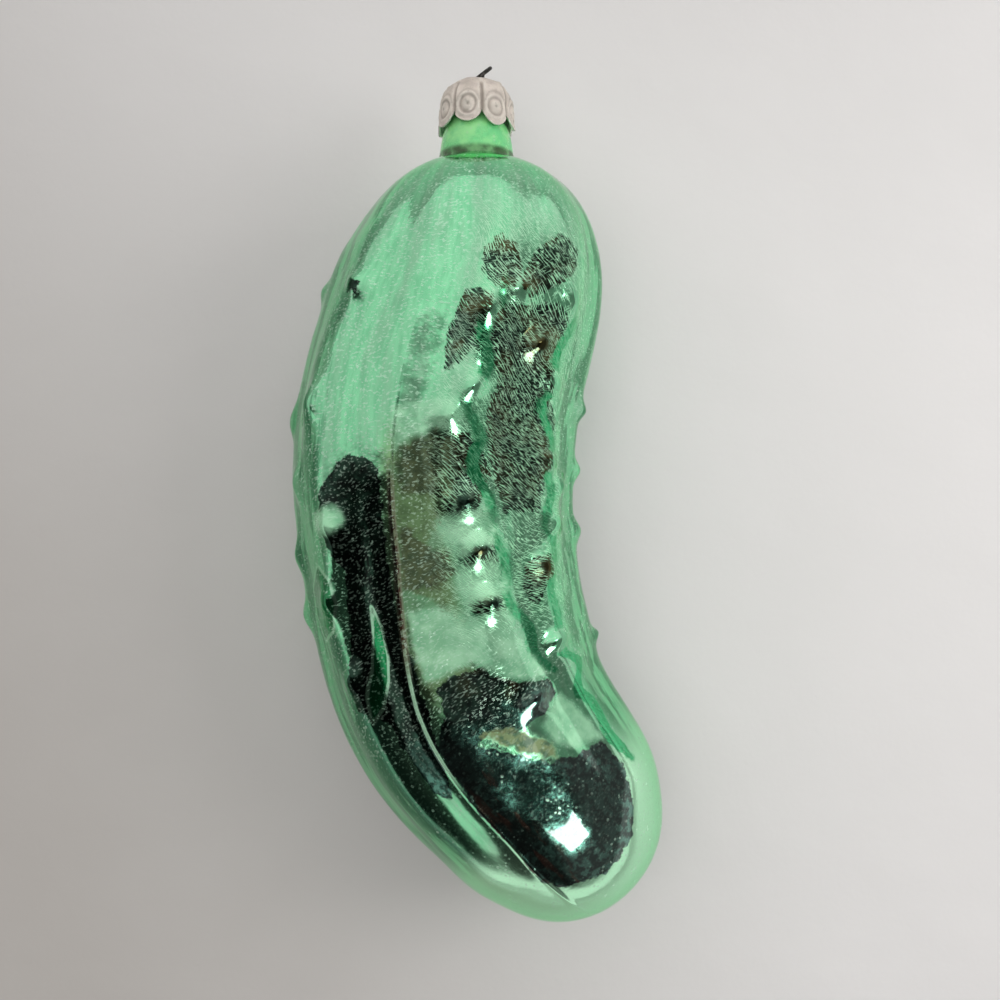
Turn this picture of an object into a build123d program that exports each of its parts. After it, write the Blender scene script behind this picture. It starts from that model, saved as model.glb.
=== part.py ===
from build123d import *
import math
import os

# Pickle ornament: a hollow blown-glass pickle with an open neck, a stamped tin cap
# that sits over the neck, and a sprung wire hanger that passes through the cap.
# The ornament lies on its side, as it rests on a table. +Y runs along the neck
# towards the cap, +X is the side that the blossom end swings to, +Z is up.
# The model is drawn from the top of the body's curve, then moved so that its origin is the
# middle of its footprint. Millimetres and degrees.

# Glass body
body_drop = 100.25         # from the body's top to the blossom end, along Y
body_sway = 24.5           # what the bend's shares below are measured in, along X
belly_radius = 18.9        # the thickest place, on the crest of a rib
glass_wall = 0.9
rib_count = 10
rib_depth = 0.65           # from a rib's crest to the hollow between two ribs
rib_start_angle = -18      # one rib's place round the body, from the top towards +X
wart_height = 0.9
wart_spread = 1.3          # how quickly a wart falls away round its tip
section_count = 64         # drawn sections along the body
rib_points = 6             # drawn points on each rib of a section

# Glass neck
neck_height = 9.0          # from the body's top to the mouth
mouth_radius = 3.0
neck_wall = 0.7
lip_radius = 0.25

# Cap
cap_gap = 0.6              # between the neck's mouth and the top of the cap's inside
cap_skirt_gap = 1.7        # between the mouth's outside and the cap's inside
cap_sheet = 0.3
cap_height = 6.95
cap_shoulder = 4.0         # how round the cap's dome is
petal_count = 8
petal_start_angle = 9.8    # one gap between petals, from the top towards +X
petal_depth = 1.6
petal_tip_width = 0.5      # the flat at each petal's tip
petal_bulge = 0.3          # how far a petal's edge bows out from a straight line
ring_radius = 1.6          # the stamped ring on each petal
ring_width = 0.35
ring_rise = 0.12
boss_radius = 0.7
boss_height = 0.2
dome_bead = 0.4            # the bead above each gap between petals
bead_turn = 46             # how far up the dome's curve the beads sit
crease_width = 0.3
crease_depth = 0.1

# Wire hanger
wire_diameter = 0.5
wire_hole_gap = 0.2        # round the wire, in the cap's holes
wire_bore_gap = 0.1        # between the sprung legs and the neck's bore
loop_width = 3.6           # from one leg to the other, on their centres
loop_height = 2.4          # straight length of the loop above the cap
loop_rise = 0.3            # how far the legs stand out of the cap before they lean
loop_lean = 48             # how far the loop leans to one side
loop_turn = 28             # the loop's plane, from the top towards +X
leg_straight = 1.2         # straight stretch of each leg below the cap's top
leg_spread = 1.6           # the stretch in which the legs spread apart
leg_hold = 9.5             # the stretch that presses on the neck and reaches below it
leg_tip = 1.5              # the curled-in end
leg_tip_curl = 0.5
wire_bend = 2.0

# One overrun serves every cut
overrun = 1.0

# The middle line of the body: shares of body_sway to +X and of body_drop to -Y
bend_shares = [
    (0, 0), (-0.014, 0.152), (-0.181, 0.313), (-0.233, 0.460),
    (-0.155, 0.610), (0.055, 0.759), (0.337, 0.850), (0.763, 1),
]
bend_end_direction = (0.574, -0.819)

# The body's outline on the crest of a rib: share of the middle line's length from
# the body's top, and share of belly_radius
outline_shares = [
    (0, 0), (0.012, 0.297), (0.046, 0.630), (0.098, 0.836), (0.165, 0.946), (0.250, 0.977),
    (0.366, 1), (0.503, 0.974), (0.652, 0.955), (0.760, 0.899), (0.829, 0.848), (0.873, 0.807),
    (0.914, 0.712), (0.950, 0.586), (0.977, 0.420), (0.994, 0.208), (1, 0),
]
rib_fade_neck_share = 0.20     # ribs grow to their full depth over this length
rib_fade_end_share = 0.24      # and die away over this length at the blossom end

# The neck's curve where it widens to the body: share of mouth_radius, and share of
# neck_height above the body's top
neck_curve_shares = [(1, 0.65), (1.25, 0.46), (1.42, 0.355), (1.57, 0.178), (1.65, 0), (1.76, -0.18)]
neck_foot_direction = (0.2, -0.98)

# Warts: share of the middle line's length, and degrees round from the top towards
# +X. The first five lines are the ribs that face up, the rest face down. The last
# line holds the three warts that the ornament lies on.
wart_place_shares = [
    (0.225, -90), (0.358, -90), (0.420, -68), (0.490, -78), (0.553, -86),
    (0.222, -43), (0.343, -54), (0.463, -41), (0.537, -48), (0.620, -43),
    (0.213, 12), (0.306, 14), (0.343, 7), (0.444, 15), (0.500, 19), (0.565, 20), (0.704, 28),
    (0.185, 24), (0.176, 48), (0.231, 37), (0.269, 48), (0.389, 51), (0.482, 56), (0.537, 47), (0.639, 46),
    (0.287, 82), (0.398, 85), (0.426, 62), (0.500, 88), (0.676, 92),
    (0.240, 124), (0.330, 128), (0.470, 125), (0.560, 130), (0.640, 122),
    (0.285, 153), (0.370, 151), (0.450, 154), (0.530, 151), (0.700, 152),
    (0.220, 207), (0.400, 206), (0.480, 208), (0.570, 205), (0.660, 206),
    (0.210, 236), (0.360, 232), (0.430, 238), (0.510, 233), (0.610, 236),
    (0.200, 161), (0.310, 198), (0.615, 162),
]


def body_line():
    points = [(across * body_sway, -down * body_drop) for across, down in bend_shares]
    return Spline(*points, tangents=[(0, -1), bend_end_direction], tangent_scalars=[1, 1])


def body_outline(length):
    points = [(along * length, out * belly_radius) for along, out in outline_shares]
    return Spline(*points, tangents=[(0, 1), (0, -1)], tangent_scalars=[1, 1])


def rib_fade(along_share):
    grow = min(1, along_share / rib_fade_neck_share)
    die = min(1, max(0, 1 - along_share) / rib_fade_end_share)
    return math.sin(math.radians(90 * grow)) * math.sin(math.radians(90 * die))


def wart_rise(along, angle, radius, length):
    rise = 0
    for place_share, place_angle in wart_place_shares:
        ahead = along - place_share * length
        aside = math.remainder(angle - place_angle, 360)
        away = math.hypot(ahead, math.radians(aside) * radius) / wart_spread
        rise += wart_height * math.exp(-away * away / 2)
    return rise


def body_section(line, along, radius, warts):
    """One closed section of the body, square to its middle line."""
    length = line.length
    share = min(1, max(0, along / length))
    middle = line.position_at(share)
    heading = line.tangent_at(share)
    side = Vector(-heading.Y, heading.X, 0)
    steps = rib_count * rib_points
    rib = rib_depth * rib_fade(share)
    points = []
    for step in range(steps):
        angle = 360 * step / steps
        hollow = (1 - math.cos(math.radians(rib_count * (angle - rib_start_angle)))) / 2
        out = radius - rib * hollow
        if warts:
            out += wart_rise(along, angle, radius, length)
        turn = math.radians(angle)
        points.append(middle + side * (out * math.sin(turn)) + Vector(0, 0, out * math.cos(turn)))
    spacing = [step / steps for step in range(steps + 1)]
    return Wire([Edge.make_spline(points, periodic=True, parameters=spacing)])


def body_loft(line, inset, count, warts):
    """The body's solid, inset everywhere from its outline by the same amount."""
    outline = body_outline(line.length)
    sections = []
    for step in range(1, count):
        place = outline.position_at(step / count)
        heading = outline.tangent_at(step / count)
        along = place.X + inset * heading.Y
        radius = place.Y - inset * heading.X
        sections.append(body_section(line, along, radius, warts))
    tip = line.position_at(1) - line.tangent_at(1) * inset
    return Solid.make_loft(sections + [Vertex(tip)])


def turned_neck(inset):
    """The neck with its curve down to the body, inset everywhere by the same amount."""
    curve = [(out * mouth_radius - inset, up * neck_height) for out, up in neck_curve_shares]
    foot = curve[-1][1]
    side = Spline(*curve, tangents=[(0, -1), neck_foot_direction], tangent_scalars=[1, 1])
    edge = Polyline(curve[-1], (0, foot), (0, neck_height), (curve[0][0], neck_height), curve[0])
    return revolve(make_face([side, edge]), Axis.Y)


def glass_pickle():
    line = body_line()
    outer = body_loft(line, 0, section_count, True)
    cavity = body_loft(line, glass_wall, section_count // 2, False)
    glass = outer + turned_neck(0) - cavity - turned_neck(neck_wall)
    mouth = glass.edges().filter_by(GeomType.CIRCLE).group_by(Axis.Y)[-1]
    return fillet(mouth, lip_radius)


def round_the_neck(angle, radius, height):
    """A plane that faces out of the neck's axis, with its X round the neck."""
    turn = math.radians(angle)
    out = Vector(math.sin(turn), 0, math.cos(turn))
    return Plane(out * radius + Vector(0, height, 0), x_dir=(math.cos(turn), 0, -math.sin(turn)), z_dir=out)


def loop_point(across, aside, height):
    """A point of the hanger: across is along the loop's plane, aside is out of it."""
    turn = math.radians(loop_turn)
    x = across * math.sin(turn) + aside * math.cos(turn)
    z = across * math.cos(turn) - aside * math.sin(turn)
    return Vector(x, height, z)


def cap():
    cap_top = neck_height + cap_gap + cap_sheet
    cap_inside = mouth_radius + cap_skirt_gap
    cap_outside = cap_inside + cap_sheet
    petal_tip = cap_top - cap_height
    upwards = Plane((0, petal_tip, 0), z_dir=(0, 1, 0))
    stand = (Align.CENTER, Align.CENTER, Align.MIN)
    shell = upwards * Cylinder(cap_outside, cap_height, align=stand)
    shell = fillet(shell.edges().group_by(Axis.Y)[-1], cap_shoulder)
    room = upwards * Cylinder(cap_inside, cap_height - cap_sheet, align=stand)
    room = fillet(room.edges().group_by(Axis.Y)[-1], cap_shoulder - cap_sheet)
    raised = upwards * Cylinder(cap_outside + ring_rise, cap_height, align=stand)
    raised = fillet(raised.edges().group_by(Axis.Y)[-1], cap_shoulder)
    core = upwards * Cylinder(cap_outside - crease_depth, cap_height - crease_depth, align=stand)
    core = fillet(core.edges().group_by(Axis.Y)[-1], cap_shoulder - crease_depth)

    # One gap between two round petal ends, drawn flat and cut outwards
    pitch = 360 / petal_count
    half_gap = cap_outside * math.sin(math.radians(pitch / 2)) - petal_tip_width / 2
    gap_edge = [
        SagittaArc((0, petal_depth), (half_gap, 0), petal_bulge),
        Polyline((half_gap, 0), (half_gap, -overrun), (-half_gap, -overrun), (-half_gap, 0)),
        SagittaArc((-half_gap, 0), (0, petal_depth), petal_bulge),
    ]
    gap_face = make_face(gap_edge)
    crease_foot = petal_depth - crease_width
    bead_rise = math.sin(math.radians(bead_turn))
    bead_out = cap_outside - cap_shoulder * (1 - math.cos(math.radians(bead_turn)))
    bead_height = cap_top - cap_shoulder * (1 - bead_rise)
    crease_height = bead_height - petal_tip - crease_foot
    stamped, cuts = [], [room]
    for petal in range(petal_count):
        gap_angle = petal_start_angle + pitch * petal
        gap_plane = round_the_neck(gap_angle, 0, petal_tip)
        cuts.append(gap_plane * extrude(gap_face, cap_outside + overrun))
        crease_plane = round_the_neck(gap_angle, cap_outside / 2, petal_tip + crease_foot)
        cuts.append(crease_plane * Box(
            crease_width, crease_height, cap_outside, align=(Align.CENTER, Align.MIN, Align.MIN)) - core)
        stamped.append(round_the_neck(gap_angle, bead_out - cap_sheet / 2, bead_height) * Sphere(dome_bead))
        petal_angle = gap_angle + pitch / 2
        petal_middle = petal_tip + ring_radius + ring_width
        ring_plane = round_the_neck(petal_angle, cap_inside + cap_sheet / 2, petal_middle)
        ring = Circle(ring_radius) - Circle(ring_radius - ring_width)
        stamped.append((ring_plane * extrude(ring, overrun)) & raised)
        boss_plane = round_the_neck(petal_angle, cap_outside + boss_height - boss_radius, petal_middle)
        stamped.append(boss_plane * Sphere(boss_radius))
    hole_radius = wire_diameter / 2 + wire_hole_gap
    for side in (-1, 1):
        place = loop_point(side * loop_width / 2, 0, cap_top + overrun)
        cuts.append(Plane(place, z_dir=(0, -1, 0)) * Cylinder(
            hole_radius, cap_sheet + 2 * overrun, align=stand))
    return shell + stamped - cuts


def wire_hanger():
    cap_top = neck_height + cap_gap + cap_sheet
    bore_radius = mouth_radius - neck_wall
    near = loop_width / 2
    wide = bore_radius - wire_bore_gap - wire_diameter / 2
    lean = math.radians(loop_lean)
    bend = cap_top + loop_rise
    top = bend + loop_height * math.cos(lean)
    spread_top = cap_top - leg_straight
    hold_top = spread_top - leg_spread
    hold_foot = hold_top - leg_hold
    half = [
        (wide - leg_tip_curl, 0, hold_foot - leg_tip),
        (wide, 0, hold_foot),
        (wide, 0, hold_top),
        (near, 0, spread_top),
        (near, 0, bend),
        (near, loop_height * math.sin(lean), top),
    ]
    one = [loop_point(-across, aside, height) for across, aside, height in half]
    other = [loop_point(across, aside, height) for across, aside, height in reversed(half)]
    arch = near - wire_diameter / 8
    radii = [wire_bend, wire_bend, wire_bend, wire_diameter, arch]
    path = FilletPolyline(*one, *other, radius=radii + radii[::-1])
    profile = Plane(path @ 0, z_dir=path % 0) * Circle(wire_diameter / 2)
    return sweep(profile, path)


def main():
    os.makedirs("parts", exist_ok=True)
    pieces = {"glass_pickle": glass_pickle(), "cap": cap(), "wire_hanger": wire_hanger()}
    box = Compound(list(pieces.values())).bounding_box()
    middle = box.center()
    shift = Location((-middle.X, -middle.Y, -box.min.Z))
    print("moved by", shift.position, "size", box.size)
    for name, piece in pieces.items():
        export_step(piece.moved(shift), f"parts/{name}.step")


main()
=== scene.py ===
import math
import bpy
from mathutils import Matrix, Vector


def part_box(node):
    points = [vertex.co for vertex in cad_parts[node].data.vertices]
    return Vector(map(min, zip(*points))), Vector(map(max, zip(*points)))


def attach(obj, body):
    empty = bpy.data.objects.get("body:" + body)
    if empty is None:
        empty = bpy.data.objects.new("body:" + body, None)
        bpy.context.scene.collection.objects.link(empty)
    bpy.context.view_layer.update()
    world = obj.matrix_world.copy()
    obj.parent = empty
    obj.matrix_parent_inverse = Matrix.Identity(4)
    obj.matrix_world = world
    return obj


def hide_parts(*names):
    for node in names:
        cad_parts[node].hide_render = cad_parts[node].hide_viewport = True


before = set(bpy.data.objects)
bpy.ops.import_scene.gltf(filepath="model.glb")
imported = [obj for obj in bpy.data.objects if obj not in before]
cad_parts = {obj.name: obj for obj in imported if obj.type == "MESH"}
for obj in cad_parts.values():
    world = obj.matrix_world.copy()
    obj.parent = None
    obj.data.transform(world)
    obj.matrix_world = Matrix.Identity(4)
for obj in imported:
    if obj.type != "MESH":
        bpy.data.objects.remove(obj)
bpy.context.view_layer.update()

from types import SimpleNamespace

import bpy
import numpy as np
from mathutils import Vector, noise

# Pickle ornament of blown glass, silvered inside and lacquered green, with a stamped
# tin cap and a sprung wire hanger. Shapes are worked out in millimetres from the
# top of the body's curve, with +Y along the neck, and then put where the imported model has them.

MM = 0.001

# Glass body: the bend's middle line as shares of its sway and drop, and the outline
# as shares of the body's length and its widest radius
BODY_DROP = 100.25
BODY_SWAY = 24.5
BELLY_RADIUS = 18.9
GLASS_WALL = 0.9
BEND_SHARES = [
    (0, 0), (-0.014, 0.152), (-0.181, 0.313), (-0.233, 0.460),
    (-0.155, 0.610), (0.055, 0.759), (0.337, 0.850), (0.763, 1),
]
BEND_END = (0.574, -0.819)     # the bend's heading at the blossom end
HEADING_STEP = 0.02            # the heading is measured this far ahead and behind
OUTLINE_SHARES = [
    (0, 0), (0.012, 0.297), (0.046, 0.630), (0.098, 0.836), (0.165, 0.946), (0.250, 0.977),
    (0.366, 1), (0.503, 0.974), (0.652, 0.955), (0.760, 0.899), (0.829, 0.848), (0.873, 0.807),
    (0.914, 0.712), (0.950, 0.586), (0.977, 0.420), (0.994, 0.208), (1, 0),
]

# Ribs: how deep the hollows between them are, and where they fade out, as shares of the length
RIB_DEPTH = 0.65
RIB_FADE_NECK = 0.20
RIB_END = 0.89
RIB_FADE_END = 0.19
# The ribs' crests wander through their warts: share of length, degrees
CRESTS = [
    [(0.2, -88), (0.36, -90), (0.42, -84), (0.5, -88), (0.6, -85)],
    [(0.222, -45), (0.343, -52), (0.463, -45), (0.537, -48), (0.62, -45)],
    [(0.2, -16), (0.45, -14), (0.6, -18)],
    [(0.213, 13), (0.306, 14), (0.343, 9), (0.444, 15), (0.5, 19), (0.565, 20), (0.704, 26)],
    [(0.176, 48), (0.231, 42), (0.269, 48), (0.389, 51), (0.482, 56), (0.537, 48), (0.639, 47), (0.72, 50)],
    [(0.287, 83), (0.398, 85), (0.5, 88), (0.676, 91)],
    [(0.3, 126), (0.6, 128)],
    [(0.3, 160), (0.6, 162)],
    [(0.3, 198), (0.6, 200)],
    [(0.3, 234), (0.6, 236)],
]

# Warts: share of the body's length, degrees round from the top towards +X
WARTS = [
    (0.225, -90), (0.358, -90), (0.420, -68), (0.490, -78), (0.553, -86),
    (0.222, -43), (0.343, -54), (0.463, -41), (0.537, -48), (0.620, -43),
    (0.213, 12), (0.306, 14), (0.343, 7), (0.444, 15), (0.500, 19), (0.565, 20), (0.704, 28),
    (0.185, 24), (0.176, 48), (0.231, 37), (0.269, 48), (0.389, 51), (0.482, 56), (0.537, 47), (0.639, 46),
    (0.287, 82), (0.398, 85), (0.426, 62), (0.500, 88), (0.676, 92),
    (0.240, 124), (0.330, 128), (0.470, 125), (0.560, 130), (0.640, 122),
    (0.285, 153), (0.370, 151), (0.450, 154), (0.530, 151), (0.700, 152),
    (0.220, 207), (0.400, 206), (0.480, 208), (0.570, 205), (0.660, 206),
    (0.210, 236), (0.360, 232), (0.430, 238), (0.510, 233), (0.610, 236),
    (0.200, 161), (0.310, 198), (0.615, 162),
]
WART_HEIGHT = 0.9
WART_SPREAD = 1.3
# Each wart leans and narrows a little differently, at most this much
WART_LEAN, LEAN_STEP = 0.25, 2.4
WART_SQUEEZE, SQUEEZE_STEP = 0.12, 1.7

# Mould seams, where the mould's halves met: one on the top side and one on the back
SEAM_LINE = [(0.30, -12.5), (0.50, -12.5), (0.66, -18), (1, -18)]
BACK_SEAM = 162
SEAM_HEIGHT = 0.12
SEAM_SPREAD = 0.34
SEAM_START, SEAM_FADE_START, SEAM_FADE_END = 0.22, 0.12, 0.03      # shares of the length

# Uneven surfaces: height, size and shift of each layer of small waves
GLASS_RIPPLES = [(0.085, 5.5, (0, 0, 0)), (0.03, 2.1, (7, 3, 1))]
RIPPLE_START, RIPPLE_GROWTH = 1.5, 6    # they grow over this stretch below the neck's root
RIPPLE_LEAST = 0.2                      # their share where there are no ribs
CAP_DENTS = [(0.10, 2.1, (0, 0, 0)), (0.045, 0.75, (3, 9, 4))]

# Outlines of the patches on the glass: share of the body's length, degrees. The dark and olive patches are
# painted dark reflections, and the pale ones painted reflections of bright surroundings
PATCHES = {
    "dark": [
        [(0.43, -46), (0.42, -43), (0.40, -37), (0.39, -31), (0.395, -23), (0.405, -17), (0.47, -16),
         (0.55, -16), (0.61, -14), (0.68, -14), (0.72, -18), (0.755, -25), (0.74, -32), (0.71, -32),
         (0.665, -34), (0.655, -40), (0.65, -47), (0.62, -44), (0.58, -41), (0.54, -38), (0.51, -37),
         (0.49, -42), (0.465, -44)],
        [(0.155, 8), (0.14, 12), (0.145, 18), (0.167, 21), (0.184, 18), (0.183, 13), (0.17, 8)],
        [(0.145, 29), (0.125, 40), (0.13, 49), (0.145, 47), (0.165, 38), (0.185, 28), (0.178, 24)],
        [(0.202, 4), (0.202, 11), (0.22, 12), (0.253, 11), (0.277, 6), (0.29, 4), (0.246, 1)],
        [(0.206, 18), (0.202, 27), (0.187, 41), (0.195, 46), (0.23, 48), (0.26, 43), (0.325, 53),
         (0.40, 50), (0.457, 46), (0.455, 32), (0.40, 27), (0.33, 22), (0.29, 26), (0.245, 18)],
        [(0.371, 5), (0.367, 15), (0.383, 20), (0.406, 23), (0.45, 18), (0.457, 11), (0.44, 7)],
        [(0.50, 13), (0.49, 17), (0.492, 24), (0.516, 24), (0.52, 15)],
        [(0.559, 13), (0.55, 17), (0.558, 26), (0.578, 23), (0.571, 14)],
        [(0.56, 38), (0.53, 41), (0.527, 50), (0.55, 49), (0.575, 40)],
        [(0.218, -46), (0.218, -40), (0.234, -40), (0.234, -46)],
        [(0.527, -50), (0.55, -47), (0.567, -52), (0.56, -58), (0.54, -55)],
        [(0.645, -8), (0.637, 0), (0.638, 11), (0.653, 15), (0.672, 23), (0.688, 38), (0.715, 38),
         (0.731, 27), (0.731, 14), (0.711, 5), (0.719, -2), (0.75, 8), (0.785, 18), (0.801, 29),
         (0.812, 44), (0.847, 47), (0.88, 42), (0.914, 34), (0.925, 21), (0.931, 9), (0.917, -12),
         (0.893, -19), (0.843, -18), (0.797, -19), (0.75, -18), (0.703, -17), (0.676, -9)],
    ],
    "olive": [
        [(0.398, -10), (0.383, -9), (0.371, -2), (0.363, 3), (0.375, 8), (0.44, 8), (0.433, 2), (0.43, -9)],
        [(0.469, -11), (0.464, -8), (0.473, -5), (0.488, -2), (0.504, 5), (0.521, 7), (0.53, 4),
         (0.536, 0), (0.539, -6), (0.535, -12)],
        [(0.711, 0), (0.719, 11), (0.738, 17), (0.77, 25), (0.789, 21), (0.746, 9)],
    ],
    "pale": [
        [(0.455, -51), (0.441, -42), (0.444, -37), (0.457, -34), (0.466, -37), (0.469, -42), (0.465, -51)],
        [(0.343, -13), (0.331, -3), (0.328, 6), (0.339, 11), (0.355, 9), (0.359, 3), (0.371, -6),
         (0.386, -11)],
        [(0.465, 3), (0.461, 12), (0.456, 21), (0.476, 25), (0.493, 23), (0.493, 17), (0.504, 12), (0.49, 8)],
        [(0.523, 12), (0.522, 23), (0.539, 26), (0.555, 27), (0.555, 17), (0.56, 12), (0.535, 9)],
        [(0.559, -12), (0.559, 0), (0.582, 9), (0.582, 24), (0.61, 27), (0.65, 34), (0.68, 38),
         (0.68, 31), (0.657, 18), (0.629, 9), (0.636, -6), (0.637, -12), (0.598, -13)],
        [(0.72, 40), (0.785, 46), (0.811, 46), (0.797, 32), (0.773, 24), (0.742, 24)],
    ],
    "leaf": [
        [(0.547, -27), (0.57, -24), (0.60, -24), (0.625, -27), (0.65, -34), (0.662, -41), (0.64, -39),
         (0.613, -33), (0.57, -28)],
        [(0.50, -53), (0.516, -45), (0.54, -43), (0.567, -49), (0.578, -62), (0.55, -68), (0.523, -66)],
    ],
}
PATCH_REACH = 3.0              # how far from an outline the depth is told apart
WRAP_RADIUS = 17               # one radius for degrees round the body, as millimetres
WRAP_UNIT = 100                # millimetres to one unit of the wrap map

# Deep green bands wander along two of the ribs: share of length, degrees
BANDS = [
    [(0.17, 15), (0.25, 15), (0.30, 17), (0.33, 13), (0.37, 19), (0.42, 20), (0.46, 24), (0.49, 27),
     (0.55, 28), (0.60, 32), (0.65, 36), (0.70, 42)],
    [(0.17, 49), (0.21, 51), (0.25, 48), (0.30, 46), (0.38, 54), (0.45, 52), (0.50, 54), (0.56, 51),
     (0.64, 45), (0.69, 55), (0.745, 50), (0.80, 52), (0.87, 54)],
]
BAND_SPREAD = 1.0
BAND_WANDER, BAND_WAVES = 2, 75    # degrees to each side, and how quickly
BAND_FADE_START, BAND_FADE_END = 0.03, 0.04
# The patches and bands come again on the back: degrees further round and share further along
REPEATS = [(0, 0), (148, 0.04), (222, -0.05)]

# Glass neck: its curve as shares of the mouth's radius and the neck's height
NECK_HEIGHT = 9.0
MOUTH_RADIUS = 3.0
NECK_WALL = 0.7
LIP_RADIUS = 0.25
NECK_CURVE = [(1, 0.65), (1.25, 0.46), (1.42, 0.355), (1.57, 0.178), (1.65, 0), (1.76, -0.18)]
NECK_FOOT = (0.98, 0.2)        # the curve's direction where it meets the body
FOOT_GAP = 0.04                # between the neck's last row and the body's first one
BORE_END = 1.0                 # how far below the body's top the bore runs
BORE_STEP = 0.4                # how much wider the hollow starts than the bore ends

# Cap
CAP_TOP = 9.9
CAP_RADIUS = 5.0
CAP_SHEET = 0.3
CAP_HEIGHT = 6.95
CAP_SHOULDER = 4.0
CAP_SINK = 0.06                # how far the stamped sheet sits inside its plain form
PETALS = 8
PETAL_GAP_START = 9.8          # one gap between petals, from the top towards +X
PETAL_DEPTH = 1.75
ARC_PART, ARC_POWER, SLOPE_PART, SLOPE_POWER = 0.7, 2.6, 0.3, 1.6     # a petal's round edge
PETAL_DROPS = [0.38, 0.10, 0.0, 0.15, 0.05, 0.2, 0.12, 0.0]     # how much longer each petal is
PETAL_SPLAYS = [0.22, 0.30, 0.1, 0.18, 0.12, 0.2, 0.25, 0.05]   # how far its tip stands out
SPLAY_UP, SPLAY_POWER = 2.6, 1.5    # only the lowest part of a petal stands out
DENTS_START, DENTS_GROWTH = 0.3, 0.7    # the sheet is even round the middle of the top
HOLE_RADIUS = 0.45
HOLE_TURN, FLAT_TURN = 0.9, 1.5    # turns of the dome above which holes are cut and stamping ends
# Stamping on each petal: places and widths
BUTTON_UP, BUTTON_RADIUS, BUTTON_SQUASH = 2.25, 0.85, 0.94
RING_RADIUS, RING_WIDTH = 1.42, 0.20
GROOVE_RADIUS, GROOVE_WIDTH = 1.08, 0.15
DIMPLE_WIDTH = 0.19
CREASE_WIDTH, CREASE_CLEAR, CREASE_FADE = 0.19, 0.25, 0.6
FLANK_PLACE, FLANK_WIDTH = 0.42, 0.2236
BEAD_TURN, BEAD_RADIUS = 46, 0.36
ARCH_MIDDLE, ARCH_SQUASH, ARCH_RADIUS, ARCH_WIDTH, ARCH_UP = 2.0, 0.72, 1.62, 0.1095, 2.6
EDGE_ROLL_WIDTH = 0.18
# Each mark's height, and its shares of painted highlight and of painted shade
STAMPS = {
    "ring": (0.10, 1.0, 0), "button": (0.15, 0.9, 0), "dimple": (-0.14, 0, 1.0), "crease": (-0.24, 0, 1.2),
    "flank": (0.07, 0.5, 0), "bead": (0.17, 1.0, 0), "groove": (-0.06, 0, 0.8), "arch": (-0.05, 0, 0.5),
    "edge roll": (0.04, 0.6, 0),
}

# Wire hanger
WIRE_RADIUS = 0.25
LOOP_TURN = 28
LOOP_LEAN = 48
LOOP_WIDTH = 3.6
LOOP_HEIGHT = 2.4
LOOP_RISE = 0.3
LOOP_FLAT = 0.06
LEG_WIDE = 1.95
LEG_TOE = 0.5
TOE_END, TOE_TOP, LEG_TOP, LEG_IN = 13.8, 12.3, 2.8, 1.2    # how far below the cap's top
LEG_BEND, HOLE_BEND = 2.0, 0.5
END_DOME, END_TURNS = 0.16, (0.5, 0.95, 1.35)    # a domed end's height, and its rings

# Mesh counts
BODY_SAMPLES, NECK_SAMPLES = 6000, 400             # along the curves that the rows are taken from
BODY_RINGS = 286
BODY_COLUMNS = 236
SEAM_ZONE, SEAM_COLUMNS = (-20, 9.5), 26           # start and width in degrees
BACK_ZONE, BACK_COLUMNS = (BACK_SEAM - 1.2, 2.4), 8
COLUMN_OFFSET = 0.37                               # keeps the extra columns off the plain ones
LIP_STEPS = 4
NECK_STEPS, NECK_ROWS = 5, 26
BORE_ROWS, HOLLOW_RINGS = 12, 28
CAP_COLUMNS = 44                                   # on each petal
WALL_ROWS, DOME_ROWS, TOP_ROWS = 34, 40, 16
WIRE_SIDES, BEND_STEPS = 18, 9

cap_low, cap_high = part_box("cap")
SHIFT = Vector((
    (cap_low.x + cap_high.x) / 2 / MM,
    cap_high.y / MM - CAP_TOP,
    (cap_low.z + cap_high.z) / 2 / MM,
))


def smooth_curve(points, first, last, samples=BODY_SAMPLES):
    """A smooth curve through points, with set directions at its two ends, as many samples."""
    points = np.array(points, float)
    steps = np.linalg.norm(np.diff(points, axis=0), axis=1)
    knots = np.concatenate([[0], np.cumsum(steps)])
    count = len(points)
    matrix = np.zeros((count, count))
    wanted = np.zeros_like(points)
    matrix[0, 0] = matrix[-1, -1] = 1
    wanted[0], wanted[-1] = first, last
    for i in range(1, count - 1):
        before, after = steps[i - 1], steps[i]
        back, ahead = points[i] - points[i - 1], points[i + 1] - points[i]
        matrix[i, i - 1], matrix[i, i], matrix[i, i + 1] = after, 2 * (before + after), before
        wanted[i] = 3 * (after * back / before + before * ahead / after)
    slopes = np.linalg.solve(matrix, wanted)
    at = np.linspace(0, knots[-1], samples)
    span = np.clip(np.searchsorted(knots, at, side="right") - 1, 0, count - 2)
    width = steps[span][:, None]
    t = ((at - knots[span]) / steps[span])[:, None]
    return (
        (2 * t**3 - 3 * t**2 + 1) * points[span] + (t**3 - 2 * t**2 + t) * width * slopes[span]
        + (-2 * t**3 + 3 * t**2) * points[span + 1] + (t**3 - t**2) * width * slopes[span + 1]
    )


def lengths_of(curve):
    """Distance along a curve to each of its points."""
    return np.concatenate([[0], np.cumsum(np.linalg.norm(np.diff(curve, axis=0), axis=1))])


def spaced_along(curve, count):
    """This many places at even distances along a curve, without its last point."""
    at = lengths_of(curve)
    marks = np.linspace(0, 1, count + 1)[:-1] * at[-1]
    return list(zip(np.interp(marks, at, curve[:, 0]), np.interp(marks, at, curve[:, 1])))


def picked_from(points, count):
    """This many of the points, from the first to the last."""
    return [tuple(p) for p in points[np.linspace(0, len(points) - 1, count).astype(int)]]


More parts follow.
